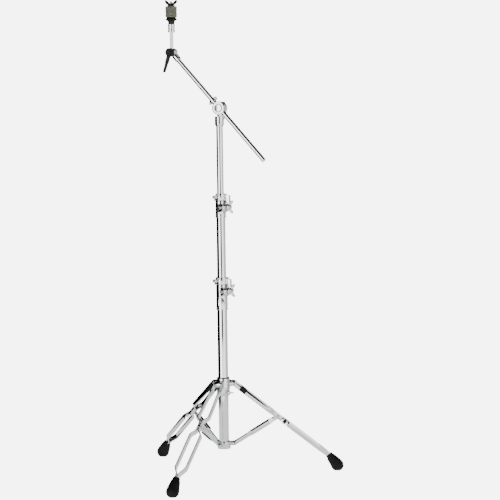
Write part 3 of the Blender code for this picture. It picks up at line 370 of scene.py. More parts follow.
def spread_colour(made, factor, low, high, width=DRIFT):
    """Let a material's colour drift from low to high with the factor."""
    tree = made.node_tree
    blend = node(tree, "ShaderNodeMix", data_type="RGBA")
    blend.inputs["A"].default_value = (*low, 1)
    blend.inputs["B"].default_value = (*high, 1)
    tree.links.new(drifting(made, factor, width), blend.inputs["Factor"])
    tree.links.new(blend.outputs["Result"], tree.nodes["Principled BSDF"].inputs["Base Color"])


def bumped(made, factor, strength, depth, after=None):
    """Raise and lower the surface by a factor, after an earlier bump if one is given."""
    tree = made.node_tree
    bump = node(tree, "ShaderNodeBump", inputs={"Strength": strength, "Distance": depth})
    tree.links.new(factor, bump.inputs["Height"])
    if after:
        tree.links.new(after.outputs[0], bump.inputs["Normal"])
    tree.links.new(bump.outputs[0], tree.nodes["Principled BSDF"].inputs["Normal"])
    return bump


chrome = finish("polished chrome", "polished_chrome", (0.79, 0.8, 0.81), 0.05, 1.0)
spread_roughness(chrome, noise(chrome, 38.0, 4.0), 0.035, 0.085)
spread_colour(chrome, noise(chrome, 17.0), (0.74, 0.755, 0.77), (0.82, 0.825, 0.83))
waves = bumped(chrome, noise(chrome, CHROME_WAVES, 1.0), 0.05, 0.0006)
bumped(chrome, noise(chrome, CHROME_LINES, 2.0, (1, 1, 0.02)), 0.03, 0.00006, waves)


def drawn_tube(node_name, body):
    """A tube with round rims, as wide and as long as its CAD node's box."""
    low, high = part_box(node_name)
    radius = (high[0] - low[0]) / 2
    centre = middle(node_name)
    place = along((centre[0], centre[1], 0), (0, 0, 1))
    shell = turned_ring(radius - TUBE_WALL, radius, low[2], high[2], TUBE_RIM, place, 128)
    return piece(f"chromed_{node_name}", [shell], chrome, body, node_name)


drawn_tube("base_tube", "base")


# The legs: each is two flat steel strips on edge, bent apart into two long loops and closed
# on each other at the rivet and again inside the foot. They are stamped, bent and chromed.
STRIP_WIDTH = 0.015
STRIP_THICKNESS = 0.003
STRIP_CORNER = 0.0009
LOOP_HALF_WIDTH = 0.0163
PINCH_HALF_LENGTH = 0.0135
BEND_LENGTH = 0.021
TIP_BEND_LENGTH = 0.03
TIP_SETBACK = 0.01
STRIP_TAIL = 0.012
HINGE_OFFSET = 0.0118
PINCH_OFFSET = 0.003
LEG_LENGTH = 0.3485


def eased(amount):
    """Smooth step: 0 below 0, 1 above 1, and 3xx - 2xxx between."""
    amount = np.clip(amount, 0, 1)
    return amount * amount * (3 - 2 * amount)


def loop_offset(place, joint):
    """A strip's distance from the leg's middle plane: wide in both loops, narrow between."""
    upper = joint - PINCH_HALF_LENGTH - BEND_LENGTH
    lower = joint + PINCH_HALF_LENGTH
    widen = HINGE_OFFSET + (LOOP_HALF_WIDTH - HINGE_OFFSET) * eased(place / upper)
    pinch = eased((place - upper) / BEND_LENGTH) - eased((place - lower) / BEND_LENGTH)
    tip = eased((place - LEG_LENGTH + TIP_BEND_LENGTH + TIP_SETBACK) / TIP_BEND_LENGTH)
    return widen + (PINCH_OFFSET - LOOP_HALF_WIDTH) * (pinch + tip)


def bent_strip(side, joint, place, run, grown=0.0):
    """A rounded bar section carried along the leg, offset sideways by loop_offset.

    Its half width closes as a circle round the hinge end: w = sqrt(ww - xx) for x < 0.
    """
    step = 0.0005
    offset = loop_offset(np.maximum(run, 0), joint)
    slope = (loop_offset(run + step, joint) - loop_offset(run - step, joint)) / (2 * step)
    slope[run <= 0] = 0
    half_width = np.sqrt((STRIP_WIDTH / 2 + grown) ** 2 - np.minimum(run, 0) ** 2)
    section = softened([(-1, -1), (1, -1), (1, 1), (-1, 1)], 0.5, 3)
    thick = section[:, 0] * (STRIP_THICKNESS / 2 + grown)
    high = (np.sign(section[:, 1]) * (half_width[:, None] - STRIP_CORNER)
            + STRIP_CORNER * section[:, 1])
    lean = 1 / np.sqrt(1 + slope ** 2)
    points = np.stack([run[:, None] - thick * (slope * lean)[:, None],
                       side * (offset[:, None] + thick * lean[:, None]), high], axis=-1)
    return skin(moved(points, place))


round_end = -STRIP_WIDTH / 2 * np.sin(np.linspace(1.45, 0.1, 9))
whole_strip = np.concatenate([round_end, np.linspace(0, LEG_LENGTH + STRIP_TAIL, 190)])
legs = {}
for name in "abc":
    hinge = joints[f"leg_{name}_fold"]
    top = np.array(hinge["pos_m"])
    rivet = np.array(joints[f"brace_{name}_fold"]["pos_m"])
    joint = np.linalg.norm(rivet - top)
    down = (rivet - top) / joint
    across = np.array(hinge["axis"])
    place = np.array([top, down, across, np.cross(down, across)])
    legs[name] = {"joint": joint, "rivet": rivet, "top": top, "down": down, "across": across,
                  "place": place, "azimuth": math.degrees(math.atan2(down[1], down[0]))}
    for side, word in ((1, "left"), (-1, "right")):
        piece(f"bent_leg_{name}_{word}", [bent_strip(side, joint, place, whole_strip)], chrome,
              f"leg_{name}", f"leg_{name}_strip_{word}")


# The rivets and hinge pins: zinc-plated steel with low domed heads. Each rivet is set
# through the two strips and the brace, and each pin through a collar or hub lug.
HEAD_RADIUS = 0.0045
HEAD_HEIGHT = 0.0016
RIVET_RADIUS = 0.00275
RIVET_REACH = 0.0048
COLLAR_PIN_RADIUS = 0.003
COLLAR_PIN_REACH = 0.0136
HUB_PIN_REACH = 0.0058

zinc = finish("zinc plate", "zinc_plated_steel", (0.56, 0.57, 0.58), 0.26, 1.0)
spread_roughness(zinc, noise(zinc, 210.0, 4.0), 0.2, 0.38)
spread_colour(zinc, noise(zinc, 60.0, 2.0), (0.5, 0.515, 0.54), (0.62, 0.61, 0.58))
bumped(zinc, noise(zinc, 900.0, 3.0), 0.08, 0.00008)


def domed_pin(name, origin, axis, shank, reach, body, replaced):
    """A shank with a domed head at each end: r = head cos t, h = reach + height sin t."""
    t = np.linspace(0, 1.5, 7)
    head = np.stack([HEAD_RADIUS * np.cos(t), reach + HEAD_HEIGHT * np.sin(t)], axis=-1)
    profile = np.concatenate([head[::-1] * (1, -1), [(shank, -reach), (shank, reach)], head])
    shell = turned(profile, along(origin, axis), ring=False, count=40)
    return piece(name, [shell], zinc, body, replaced)


for name, leg in legs.items():
    domed_pin(f"rivet_{name}", leg["rivet"], leg["across"], RIVET_RADIUS, RIVET_REACH,
              f"leg_{name}", f"leg_{name}_rivet")
    domed_pin(f"collar_pin_{name}", leg["top"], leg["across"], COLLAR_PIN_RADIUS,
              COLLAR_PIN_REACH, "leg_collar", f"leg_{name}_collar_pin")
    domed_pin(f"hub_pin_{name}", middle(f"brace_{name}_hub_pin"), leg["across"], RIVET_RADIUS,
              HUB_PIN_REACH, f"brace_{name}", f"brace_{name}_hub_pin")


# The feet: moulded black rubber boots pushed over the closed ends of each leg. They have a
# lip at the mouth and a flared body, and stand on the flat of a domed sole.
FOOT_SLOPE = 52.0
FOOT_PROFILE = [(0.004, -0.0035), (0.0096, -0.0035), (0.0106, -0.0012), (0.0106, 0.0016),
                (0.01, 0.0022), (0.0101, 0.0032), (0.0122, 0.005), (0.0138, 0.012),
                (0.016, 0.024), (0.0178, 0.034), (0.018, 0.0385)]
SOLE_RADIUS = 0.018
SOLE_CENTRE = 0.038

rubber = finish("black rubber", "black_rubber", (0.004, 0.0042, 0.004), 0.6, shine=0.16)
spread_roughness(rubber, noise(rubber, 130.0, 5.0), 0.5, 0.78)
spread_colour(rubber, noise(rubber, 45.0, 4.0), (0.003, 0.0032, 0.003),
              (0.0075, 0.008, 0.0075))
moulding = bumped(rubber, noise(rubber, 24.0, 2.0), 0.1, 0.0006)
bumped(rubber, noise(rubber, 1500.0, 2.0), 0.22, 0.0001, moulding)

slope = math.radians(FOOT_SLOPE)
sole = np.linspace(0.12, 1.45, 14)
dome = np.stack([SOLE_RADIUS * np.cos(sole), SOLE_CENTRE + SOLE_RADIUS * np.sin(sole)], axis=-1)
profile = np.concatenate([softened(FOOT_PROFILE, 0.0012, 3, closed=False), dome])
for name, leg in legs.items():
    level = leg["down"] * (1, 1, 0)
    downward = level / np.linalg.norm(level) * math.cos(slope) - (0, 0, math.sin(slope))
    mouth = leg["top"] + leg["down"] * LEG_LENGTH
    points, quads, caps = turned(profile, along(mouth, downward, leg["across"]), ring=False)
    points[:, 2] = np.maximum(points[:, 2], 0)
    piece(f"rubber_foot_{name}", [(points, quads, caps)], rubber, f"leg_{name}",
          f"leg_{name}_foot")


# The braces: sheet steel channels, pressed flat at both ends, where a rivet joins them to
# the legs and a pin hangs them in the hub. They are chromed.
BRACE_DEPTH = 0.0145
BRACE_HALF_WIDTH = 0.0056
BRACE_WALL = 0.0015
BRACE_EDGE = 0.0007
TONGUE_HALF = 0.0012
TONGUE_WALL = 0.98 * TONGUE_HALF
TONGUE_RADIUS = 0.00645
CHANNEL_START = 0.018
CHANNEL_END = 0.046
PRESSED_RUN = 0.012


def channel_outline(half_width, wall, half_depth):
    """A U of eight corners, softened: web at the bottom and both flanges standing up."""
    inner = half_width - wall
    floor_at = wall - half_depth
    return softened([(-half_width, -half_depth), (half_width, -half_depth),
                     (half_width, half_depth), (inner, half_depth), (inner, floor_at),
                     (-inner, floor_at), (-inner, half_depth), (-half_width, half_depth)],
                    BRACE_EDGE, 3)


def pressed_channel(length, place):
    """A U section carried along a brace: section = flat + (channel - flat) times a blend.

    Both ends close as half circles: the depth is scaled by sqrt(1 - xx / rr) past a pin.
    """
    end = TONGUE_RADIUS * np.sin(np.linspace(0.08, 1.45, 9))
    run = np.concatenate([-end[::-1], np.linspace(0, length, 130), length + end])
    blend = eased((run - CHANNEL_START) / PRESSED_RUN)
    blend -= eased((run - length + CHANNEL_END + PRESSED_RUN) / PRESSED_RUN)
    flat = channel_outline(TONGUE_HALF, TONGUE_WALL, TONGUE_RADIUS)
    open_channel = channel_outline(BRACE_HALF_WIDTH, BRACE_WALL, BRACE_DEPTH / 2)
    section = flat + (open_channel - flat) * blend[:, None, None]
    past = np.maximum(-run, 0) + np.maximum(run - length, 0)
    section[:, :, 1] *= np.sqrt(1 - (past / TONGUE_RADIUS) ** 2)[:, None]
    points = np.concatenate([np.broadcast_to(run[:, None, None], section.shape[:2] + (1,)),
                             section], axis=-1)
    return skin(moved(points, place))


for name, leg in legs.items():
    reach = middle(f"brace_{name}_hub_pin") - leg["rivet"]
    length = np.linalg.norm(reach)
    inward = reach / length
    place = np.array([leg["rivet"], inward, leg["across"], np.cross(inward, leg["across"])])
    piece(f"channel_brace_{name}", [pressed_channel(length, place)], chrome, f"brace_{name}",
          f"brace_{name}")


# The hub: a cast cup, chromed, that closes the bottom of the base tube. Two cheeks stand
# out beside each brace, with an open slot that the brace's pin drops into.
HUB_RADIUS = 0.019
HUB_BORE = 0.0147
HUB_PIVOT = 0.03
CUP_BELOW = 0.0145
CUP_ABOVE = 0.0065
CHEEK_ROOT = 0.0175
CHEEK_RADIUS = 0.006
CHEEK_GAP = 0.0015
CHEEK_THICKNESS = 0.004
SLOT_RADIUS = 0.00305


def upright(height, azimuth):
    """A place on the tubes' axis: ahead at an azimuth in degrees, left of that, and up."""
    angle = math.radians(azimuth)
    return np.array([(post[0], post[1], height), (math.cos(angle), math.sin(angle), 0),
                     (-math.sin(angle), math.cos(angle), 0), (0, 0, 1)])


def facing(place, order):
    """The place with its directions taken in another order, such as "xzy"."""
    return place[[0] + ["xyz".index(letter) + 1 for letter in order]]


def arc(centre, radius, start, end, count=24):
    """Points c + radius (cos a, sin a) as a goes from start to end in degrees."""
    angle = np.radians(np.linspace(start, end, count))
    return np.stack([centre[0] + radius * np.cos(angle),
                     centre[1] + radius * np.sin(angle)], axis=-1)


def plate(outline, low, high, edge, place):
    """A flat outline raised from low to high along the third direction, with round rims.

    Each rim ring is the outline drawn in along its own normals by edge (1 - sin t), at
    edge (1 - cos t) from its face.
    """
    outline = np.array(outline, float)
    ahead = np.roll(outline, -1, axis=0) - np.roll(outline, 1, axis=0)
    normal = np.stack([ahead[:, 1], -ahead[:, 0]], axis=-1)
    normal /= np.linalg.norm(normal, axis=1)[:, None]
    after = np.roll(outline, -1, axis=0)
    normal *= np.sign(np.sum(outline[:, 0] * after[:, 1] - after[:, 0] * outline[:, 1]))
    t = np.linspace(0, np.pi / 2, 4)
    inset = edge * (1 - np.sin(np.concatenate([t, t[::-1]])))
    rise = edge * (1 - np.cos(t))
    height = np.concatenate([low + rise, high - rise[::-1]])
    rings = outline - inset[:, None, None] * normal
    points = np.concatenate([rings, np.broadcast_to(height[:, None, None],
                                                    rings.shape[:2] + (1,))], axis=-1)
    return skin(moved(points, place))


cast_chrome = finish("chromed casting", "cast_chrome", (0.73, 0.74, 0.75), 0.12, 1.0)
spread_roughness(cast_chrome, noise(cast_chrome, 90.0, 4.0), 0.09, 0.18)
spread_colour(cast_chrome, noise(cast_chrome, 30.0), (0.68, 0.69, 0.7), (0.77, 0.775, 0.78))
cast_waves = bumped(cast_chrome, noise(cast_chrome, 55.0, 2.0), 0.12, 0.0005)
bumped(cast_chrome, noise(cast_chrome, 700.0, 2.0), 0.05, 0.00008, cast_waves)

hub_z = middle("brace_a_hub_pin")[2]
cup_low, cup_high = hub_z - CUP_BELOW, hub_z + CUP_ABOVE
shells = [turned_solid([(0.003, cup_low + 0.0012), (0.012, cup_low), (HUB_RADIUS, cup_low),
                        (HUB_RADIUS, cup_high), (HUB_BORE, cup_high),
                        (HUB_BORE, cup_high - 0.005), (0.003, cup_high - 0.005)], 0.0016,
                       upright(0, 0))]
hook = np.concatenate([[(CHEEK_ROOT, -CHEEK_RADIUS), (HUB_PIVOT - 0.0053, -CHEEK_RADIUS)],
                       arc((HUB_PIVOT, 0), SLOT_RADIUS, 180, 0, 14),
                       arc((HUB_PIVOT, 0), CHEEK_RADIUS, -41, 90, 22),
                       [(CHEEK_ROOT, CHEEK_RADIUS)]])
for leg in legs.values():
    sideways = facing(upright(hub_z, leg["azimuth"]), "xzy")
    for low in (CHEEK_GAP, -CHEEK_GAP - CHEEK_THICKNESS):
        shells.append(plate(softened(hook, 0.0003, 1), low, low + CHEEK_THICKNESS, 0.0005,
                            sideways))
piece("cast_hub", shells, cast_chrome, "base", "brace_hub")


# The leg collar: a chromed casting that slides on the base tube, with a wide lug for each
# leg and a sleeve below for the wing screw. A black nylon bushing lines it and shows as a
# flange on top and a fine ring underneath.
COLLAR_BORE = 0.0159
COLLAR_RADIUS = 0.0183
COLLAR_TOP = 0.0148
COLLAR_BOTTOM = -0.0341
LUG_ROOT = 0.0165
LUG_NECK = 0.024
LUG_PIVOT = 0.031
LUG_RADIUS = 0.0078
LUG_FLARE = 0.002
LUG_HALF_WIDTH = 0.01
LINING_BORE = 0.0147
WING_SCREW_TURN = -55.6
THREAD_DEPTH = 0.3
ROWS_PER_TURN = 6

collar_place = upright(joints["leg_a_fold"]["pos_m"][2], 0)
shells = [turned_ring(COLLAR_BORE, COLLAR_RADIUS, COLLAR_BOTTOM, COLLAR_TOP, 0.0008,
                      collar_place),
          turned_section([(0.0175, -0.0171), (0.0192, -0.016), (0.0192, -0.0128),
                          (0.0175, -0.0117)], 0.0006, collar_place)]
lug = np.concatenate([[(LUG_ROOT, -LUG_RADIUS - LUG_FLARE), (LUG_NECK, -LUG_RADIUS)],
                      arc((LUG_PIVOT, 0), LUG_RADIUS, -90, 90, 26),
                      [(LUG_NECK, LUG_RADIUS), (LUG_ROOT, LUG_RADIUS + LUG_FLARE)]])
for leg in legs.values():
    sideways = facing(upright(collar_place[0, 2], leg["azimuth"]), "xzy")
    shells.append(plate(lug, -LUG_HALF_WIDTH, LUG_HALF_WIDTH, 0.0009, sideways))
screw_z = joints["collar_wing_screw_turn"]["pos_m"][2]
shells.append(turned_section([(0.003, 0.0165), (0.0065, 0.0165), (0.0065, 0.0228),
                              (0.0033, 0.0228)], 0.0007,
                             facing(upright(screw_z, WING_SCREW_TURN), "yzx"), 48))
piece("cast_leg_collar", shells, cast_chrome, "leg_collar", "leg_collar")

nylon = finish("black nylon", "black_nylon", (0.004, 0.004, 0.004), 0.42, shine=0.2)
spread_roughness(nylon, noise(nylon, 160.0, 4.0), 0.34, 0.55)
spread_colour(nylon, noise(nylon, 70.0, 3.0), (0.003, 0.003, 0.003), (0.007, 0.007, 0.007))
bumped(nylon, noise(nylon, 1100.0, 2.0), 0.12, 0.00008)
flange = turned_ring(LINING_BORE, 0.0179, 0.0151, 0.017, 0.0005, collar_place)
hem = turned_ring(LINING_BORE, 0.0176, COLLAR_BOTTOM - 0.0009, COLLAR_BOTTOM, 0.0003,
                  collar_place)
piece("nylon_collar_bushing", [flange, hem], nylon, "leg_collar", "collar_bushing")


def wing_ears(start, reach, root, span, thickness, place):
    """Two flared ears in the plane of an axis (first) and a side (second).

    Each is the same outline, mirrored. Its rims are drawn in by over a third of its
    thickness, so that its edge is round.
    """
    half = np.array([(start, 0.2 * root), (start, root), (start + 0.3 * reach, 0.78 * span),
                     (start + 0.58 * reach, 0.98 * span), (start + 0.8 * reach, 1.0 * span),
                     (start + 0.97 * reach, 0.95 * span), (start + reach, 0.8 * span),
                     (start + 0.62 * reach, 1.15 * root), (start + 0.48 * reach, root),
                     (start + 0.45 * reach, 0.2 * root)])
    edge = 0.36 * thickness
    return [plate(softened(half * (1, side), 0.0022, 5), -thickness / 2, thickness / 2, edge,
                  place) for side in (1, -1)]


def wing_place(joint, side):
    """The place of a wing screw or nut: its axis first, its ears' direction second."""
    axis = np.array(joints[joint]["axis"], float)
    side = np.array(side, float) - axis * np.dot(axis, side)
    side /= np.linalg.norm(side)
    return np.array([joints[joint]["pos_m"], axis, side, np.cross(axis, side)])


def threaded(radius, pitch, low, high, place, columns=36):
    """A screw thread round the third direction, rows up it and columns round it.

    r = radius - THREAD_DEPTH pitch |2 frac(z / pitch - a / 2 pi) - 1|, with flat ends.
    """
    height = np.linspace(low, high, int((high - low) / pitch * ROWS_PER_TURN) + 2)[:, None]
    angle = np.linspace(0, 2 * np.pi, columns, endpoint=False)[None]
    turn = (height / pitch - angle / (2 * np.pi)) % 1
    radius = radius - THREAD_DEPTH * pitch * np.abs(2 * turn - 1)
    points = np.stack([radius * np.cos(angle), radius * np.sin(angle),
                       np.broadcast_to(height, radius.shape)], axis=-1)
    return skin(moved(points, place))


ears_place = wing_place("collar_wing_screw_turn", np.cross(
    joints["collar_wing_screw_turn"]["axis"], (0, 0, 1)))
barrel = turned_solid([(0.003, 0.0149), (0.003, 0.0231), (0.006, 0.0231), (0.006, 0.0262),
                       (0.005, 0.0311), (0.0006, 0.0318)], 0.0008, facing(ears_place, "yzx"),
                      48)
shells = [barrel, *wing_ears(start=0.0241, reach=0.013, root=0.005, span=0.0125,
                             thickness=0.0036, place=ears_place)]
piece("collar_wing_screw_casting", shells, chrome, "collar_wing_screw", "collar_wing_screw")


# The black bands near the top of two legs: plain plastic sleeves shrunk round the strips.
BAND_PLACES = {"a": (0.01, 0.044), "c": (0.021, 0.042)}
BAND_THICKNESS = 0.0004

plastic = finish("black plastic", "black_plastic", (0.004, 0.004, 0.004), 0.36, shine=0.22)
spread_roughness(plastic, noise(plastic, 120.0, 4.0), 0.3, 0.46)
spread_colour(plastic, noise(plastic, 50.0, 3.0), (0.002, 0.002, 0.002), (0.006, 0.006, 0.006))
bumped(plastic, noise(plastic, 900.0, 3.0), 0.14, 0.0001)

for name, (start, end) in BAND_PLACES.items():
    run = np.linspace(start, end, 16)
    shells = [bent_strip(side, legs[name]["joint"], legs[name]["place"], run, BAND_THICKNESS)
              for side in (1, -1)]
    piece(f"black_band_{name}", shells, plastic, f"leg_{name}")


# The tube clamps: chromed castings pressed on the top of the base tube and of the middle
# tube. A slot between two flat ears lets a bolt and a wing nut close each on the next tube,
# round a nylon bushing.
BASE_TUBE_RADIUS = 0.0143
MIDDLE_TUBE_RADIUS = 0.0127
TOP_TUBE_RADIUS = 0.00955
CLAMP_TURN = -55.0
CLAMP_MOUTH = 0.026
CASTING_WALL = 0.0016
FIT = 0.0003
SLOT_HALF = 0.0015
SLOT_END = -0.038
SLEEVE_RIM = 0.0006
EAR_TOP = -0.009
EAR_BOTTOM = -0.035
EAR_THICKNESS = 0.0115
EAR_OUTLINE = [(0.024, -0.029), (0.029, -0.024), (0.029, -0.014), (0.024, EAR_TOP)]
BOLT_OUT = 0.0065
BOLT_DOWN = 0.019
BOLT_HEAD = [(0.0006, -0.0172), (0.002, -0.0172), (0.0024, -0.0178), (0.0047, -0.0178),
             (0.0055, -0.0168), (0.0055, -0.0133), (0.0028, -0.0133), (0.0028, 0.0136)]


def split_ring(outer, inner, low, high, edge, place):
    """A C: an outer circle and back along an inner one, open by SLOT_HALF each side."""
    outside = math.degrees(math.asin(SLOT_HALF / outer))
    inside = math.degrees(math.asin(SLOT_HALF / inner))
    outline = np.concatenate([arc((0, 0), outer, outside, 360 - outside, 90),
                              arc((0, 0), inner, 360 - inside, inside, 90)])
    return plate(outline, low, high, edge, place)


def wing_nut(name, start, bore):
    """A cast wing nut: a waisted hub turned about its bolt, and two ears."""
    place = wing_place(f"{name}_turn", (0, 0, 1))
    hub = turned_section([(bore, start), (0.007, start), (0.007, start + 0.0026),
                          (0.0058, start + 0.0104), (bore, start + 0.0104)], 0.0009,
                         facing(place, "yzx"), 56)
    ears = wing_ears(start=start + 0.0022, reach=0.0168, root=0.0048, span=0.0185,
                     thickness=0.004, place=place)
    piece(f"{name}_casting", [hub, *ears], chrome, name, name)


for level, outer, inner, sleeve, root, body in (
        ("lower", BASE_TUBE_RADIUS, MIDDLE_TUBE_RADIUS, 0.047, 0.0094, "base"),
        ("upper", MIDDLE_TUBE_RADIUS, TOP_TUBE_RADIUS, 0.023, 0.004, "middle_tube")):
    place = upright(joints[f"{level}_memory_lock_turn"]["pos_m"][2] - FIT, CLAMP_TURN)
    sideways = facing(place, "xzy")
    bore = outer + FIT
    radius = bore + CASTING_WALL
    bottom = -CLAMP_MOUTH - sleeve
    shells = [split_ring(radius, bore, SLOT_END, 0, 0.0005, place),
              turned_ring(bore, radius, bottom, SLOT_END + 0.0001, 0.0004, place),
              turned_section([(bore, bottom), (radius + SLEEVE_RIM, bottom),
                              (radius + SLEEVE_RIM, bottom + 5 * SLEEVE_RIM),
                              (bore, bottom + 6 * SLEEVE_RIM)], SLEEVE_RIM, place)]
    ear = softened([(root, EAR_BOTTOM), *EAR_OUTLINE, (root, EAR_TOP)], 0.003, 5)
    for low in (SLOT_HALF, -SLOT_HALF - EAR_THICKNESS):
        shells.append(plate(ear, low, low + EAR_THICKNESS, 0.001, sideways))
    piece(f"cast_{level}_clamp", shells, cast_chrome, body, f"{level}_clamp_casting")

    guide = split_ring(outer, inner + FIT, FIT - CLAMP_MOUTH, 0.0004, 0.0003, place)
    piece(f"nylon_{level}_bushing", [guide], nylon, body, f"{level}_clamp_bushing")

    bolt = facing(place, "zxy")
    bolt[0] += place[1] * (inner + BOLT_OUT) - place[3] * BOLT_DOWN
    shells = [turned_solid(BOLT_HEAD, 0.0005, bolt, 48),
              threaded(radius=0.003, pitch=0.001, low=0.012, high=0.0267, place=bolt)]
    piece(f"{level}_clamp_screw", shells, zinc, body, f"{level}_clamp_bolt")
    wing_nut(f"{level}_wing_nut", start=0.0133, bore=0.0031)


# The badge: a thin plain plate with round corners, cast and chromed like the clamp, and
# bent round the lower clamp's sleeve.
BADGE_TURN = -97.0
BADGE_DROP = 0.052
BADGE_CORNER = 0.0045
BADGE_RISE = 0.0055
BADGE_HALF_THICKNESS = 0.0006


def wrapped(shell, radius, place):
    """A flat shell bent round an axis: (s, h, d) goes to angle s / radius, radius + d."""
    points, quads, caps = shell
    angle = points[:, 0] / radius
    out = radius + points[:, 2]
    bent = np.stack([out * np.cos(angle), out * np.sin(angle), points[:, 1]], axis=-1)
    return moved(bent, place), quads, caps


flat_place = np.array([(0, 0, 0), (1, 0, 0), (0, 1, 0), (0, 0, 1)], float)
badge_edge = np.concatenate([
    arc((x * BADGE_CORNER, y * BADGE_RISE), BADGE_CORNER, start, start + 90, 8)
    for x, y, start in ((1, 1, 0), (-1, 1, 90), (-1, -1, 180), (1, -1, 270))])
badge = plate(badge_edge, -BADGE_HALF_THICKNESS, BADGE_HALF_THICKNESS, 0.0003, flat_place)
badge_place = upright(joints["lower_memory_lock_turn"]["pos_m"][2] - BADGE_DROP, BADGE_TURN)
piece("plain_badge", [wrapped(badge, BASE_TUBE_RADIUS + FIT + CASTING_WALL, badge_place)],
      cast_chrome, "base")


# The memory locks: chromed cast rings that rest on each clamp and are closed on the tube
# above. Each has a half with a key beside the clamp's ears, a gate on a hinge pin, and a
# small wing screw through two lugs.
LOCK_TURN = 20.0
LOCK_WALL = 0.0046
LOCK_HEIGHT = 0.019
KEY_TURN = -25.0
KEY_STEP = 0.0072
KEY_REACH = 0.029
KEY_BOTTOM = -0.0084
KEY_TOP = 0.0145
KEY_HALF_WIDTH = 0.0055
KNUCKLE_RADIUS = 0.0036
LOCK_LUG_REACH = 0.0085
LOCK_LUG_WIDTH = 0.0035
SPLIT = 4.0
SCREW_LEAN = -118.0


def half_ring(outer, inner, start, end, place):
    """Half of a ring: an outer arc and back along an inner one, raised to its height."""
    outline = np.concatenate([arc((0, 0), outer, start, end, 50),
                              arc((0, 0), inner, end, start, 50)])
    return plate(outline, 0, LOCK_HEIGHT, 0.0007, place)


for level, tube_radius in (("lower", MIDDLE_TUBE_RADIUS), ("upper", TOP_TUBE_RADIUS)):
    base_z = joints[f"{level}_memory_lock_turn"]["pos_m"][2]
    place = upright(base_z, LOCK_TURN)
    inner = tube_radius + FIT
    outer = inner + LOCK_WALL
    hinge = place.copy()
    hinge[0] += place[1] * (outer + 0.001)
    third = LOCK_HEIGHT / 3
    knuckles = [turned_ring(0.0017, KNUCKLE_RADIUS, number * third + FIT,
                            (number + 1) * third - FIT, 0.0006, hinge, 40)
                for number in range(3)]
    key_root = outer - 0.002
    key = [(key_root, 0.0005), (inner + KEY_STEP, 0.0005), (inner + KEY_STEP, KEY_BOTTOM),
           (KEY_REACH, KEY_BOTTOM), (KEY_REACH, KEY_TOP), (key_root, KEY_TOP)]
    key_place = facing(upright(base_z, KEY_TURN), "xzy")
    sideways = facing(place, "xzy")
    meet = outer * math.sin(math.radians(SPLIT)) + 0.0001
    lug_low, lug_high = third - 0.001, 2 * third + 0.001
    lug_edge = softened([(-outer - LOCK_LUG_REACH, lug_low), (-inner - 0.002, lug_low),
                         (-inner - 0.002, lug_high), (-outer - LOCK_LUG_REACH, lug_high)],
                        0.0014, 4)
    fixed = [half_ring(outer, inner, 180 + SPLIT, 360 - SPLIT, place), knuckles[0], knuckles[2],
             plate(softened(key, 0.0022, 5), -KEY_HALF_WIDTH, KEY_HALF_WIDTH, 0.0008, key_place),
             plate(lug_edge, -meet - LOCK_LUG_WIDTH, -meet, 0.0004, sideways)]
    piece(f"cast_{level}_lock_ring", fixed, cast_chrome, f"{level}_memory_lock",
          f"{level}_lock_ring")
    moving = [half_ring(outer, inner, SPLIT, 180 - SPLIT, place), knuckles[1],
              plate(lug_edge, meet, meet + LOCK_LUG_WIDTH, 0.0004, sideways)]
    piece(f"cast_{level}_lock_gate", moving, cast_chrome, f"{level}_lock_gate",
          f"{level}_lock_gate")
    pin = turned_solid([(0.0004, -0.0001), (0.0016, -0.0001), (0.0016, LOCK_HEIGHT + 0.0001),
                        (0.0004, LOCK_HEIGHT + 0.0001)], 0.0004, hinge, 32)
    piece(f"{level}_lock_pin", [pin], zinc, f"{level}_memory_lock", f"{level}_lock_hinge_pin")

    lean = math.radians(SCREW_LEAN)
    screw = wing_place(f"{level}_lock_screw_turn", place[1] * math.cos(lean)
                       + place[3] * math.sin(lean))
    start = meet + 0.0038
    stem = turned_solid([(0.002, -start), (0.002, start), (0.0042, start),
                         (0.0038, start + 0.006), (0.0006, start + 0.0064)], 0.0008,
                        facing(screw, "yzx"), 44)
    ears = wing_ears(start=start + 0.0045, reach=0.009, root=0.003, span=0.0115,
                     thickness=0.003, place=screw)
    piece(f"{level}_lock_wing_screw", [stem, *ears], chrome, f"{level}_lock_screw",
          f"{level}_lock_screw")


# The middle and top tubes: drawn steel, polished and chromed like the base tube. Each
# slides in the one below.
for name in ("middle_tube", "top_tube"):
    drawn_tube(name, name)


# The yoke: a chromed casting pressed on the top tube. Its one cheek stands behind the
# boom's clamp, and its eye takes the clamp's bolt.
BOOM_TURN = 27.0
BOOM_SLOPE = 47.0
CHEEK_ARC = 0.018
CHEEK_BACK = -0.0163
CHEEK_FRONT = -0.0093

turn_angle, slope = math.radians(BOOM_TURN), math.radians(BOOM_SLOPE)
back = np.array([-math.cos(turn_angle), math.sin(turn_angle), 0])
pivot_line = np.array([-math.sin(turn_angle), -math.cos(turn_angle), 0])
rising = back * math.cos(slope) + np.array([0, 0, math.sin(slope)])
pivot = np.array(joints["boom_tilt"]["pos_m"])
yoke = np.array([pivot, back, pivot_line, (0, 0, 1)])

socket = turned_solid([(0.01, -0.0511), (0.0107, -0.0511), (0.01285, -0.0471),
                       (0.01285, -0.0239), (0.009, -0.0239), (0.007, -0.025)], 0.001, yoke)
cheek = np.concatenate([arc((0, 0), CHEEK_ARC, 200, -20, 44),
                        [(0.0085, -0.0331), (-0.0085, -0.0331)]])
piece("cast_yoke", [socket, plate(cheek, CHEEK_BACK, CHEEK_FRONT, 0.0012, facing(yoke, "xzy"))],
      cast_chrome, "top_tube", "boom_yoke")


# The boom's clamp: a thick chromed disc with the boom through it. An eye bolt seated in
# its face draws the boom against the disc and the disc against the yoke, by a wing nut.
DISC_RADIUS = 0.0186
DISC_BACK = -0.009
DISC_FRONT = 0.0095
EYE_RADIUS = 0.0104
EYE_SEAT = -0.0068
BOLT_BORE = 0.0043
COARSE_PITCH = 0.00125

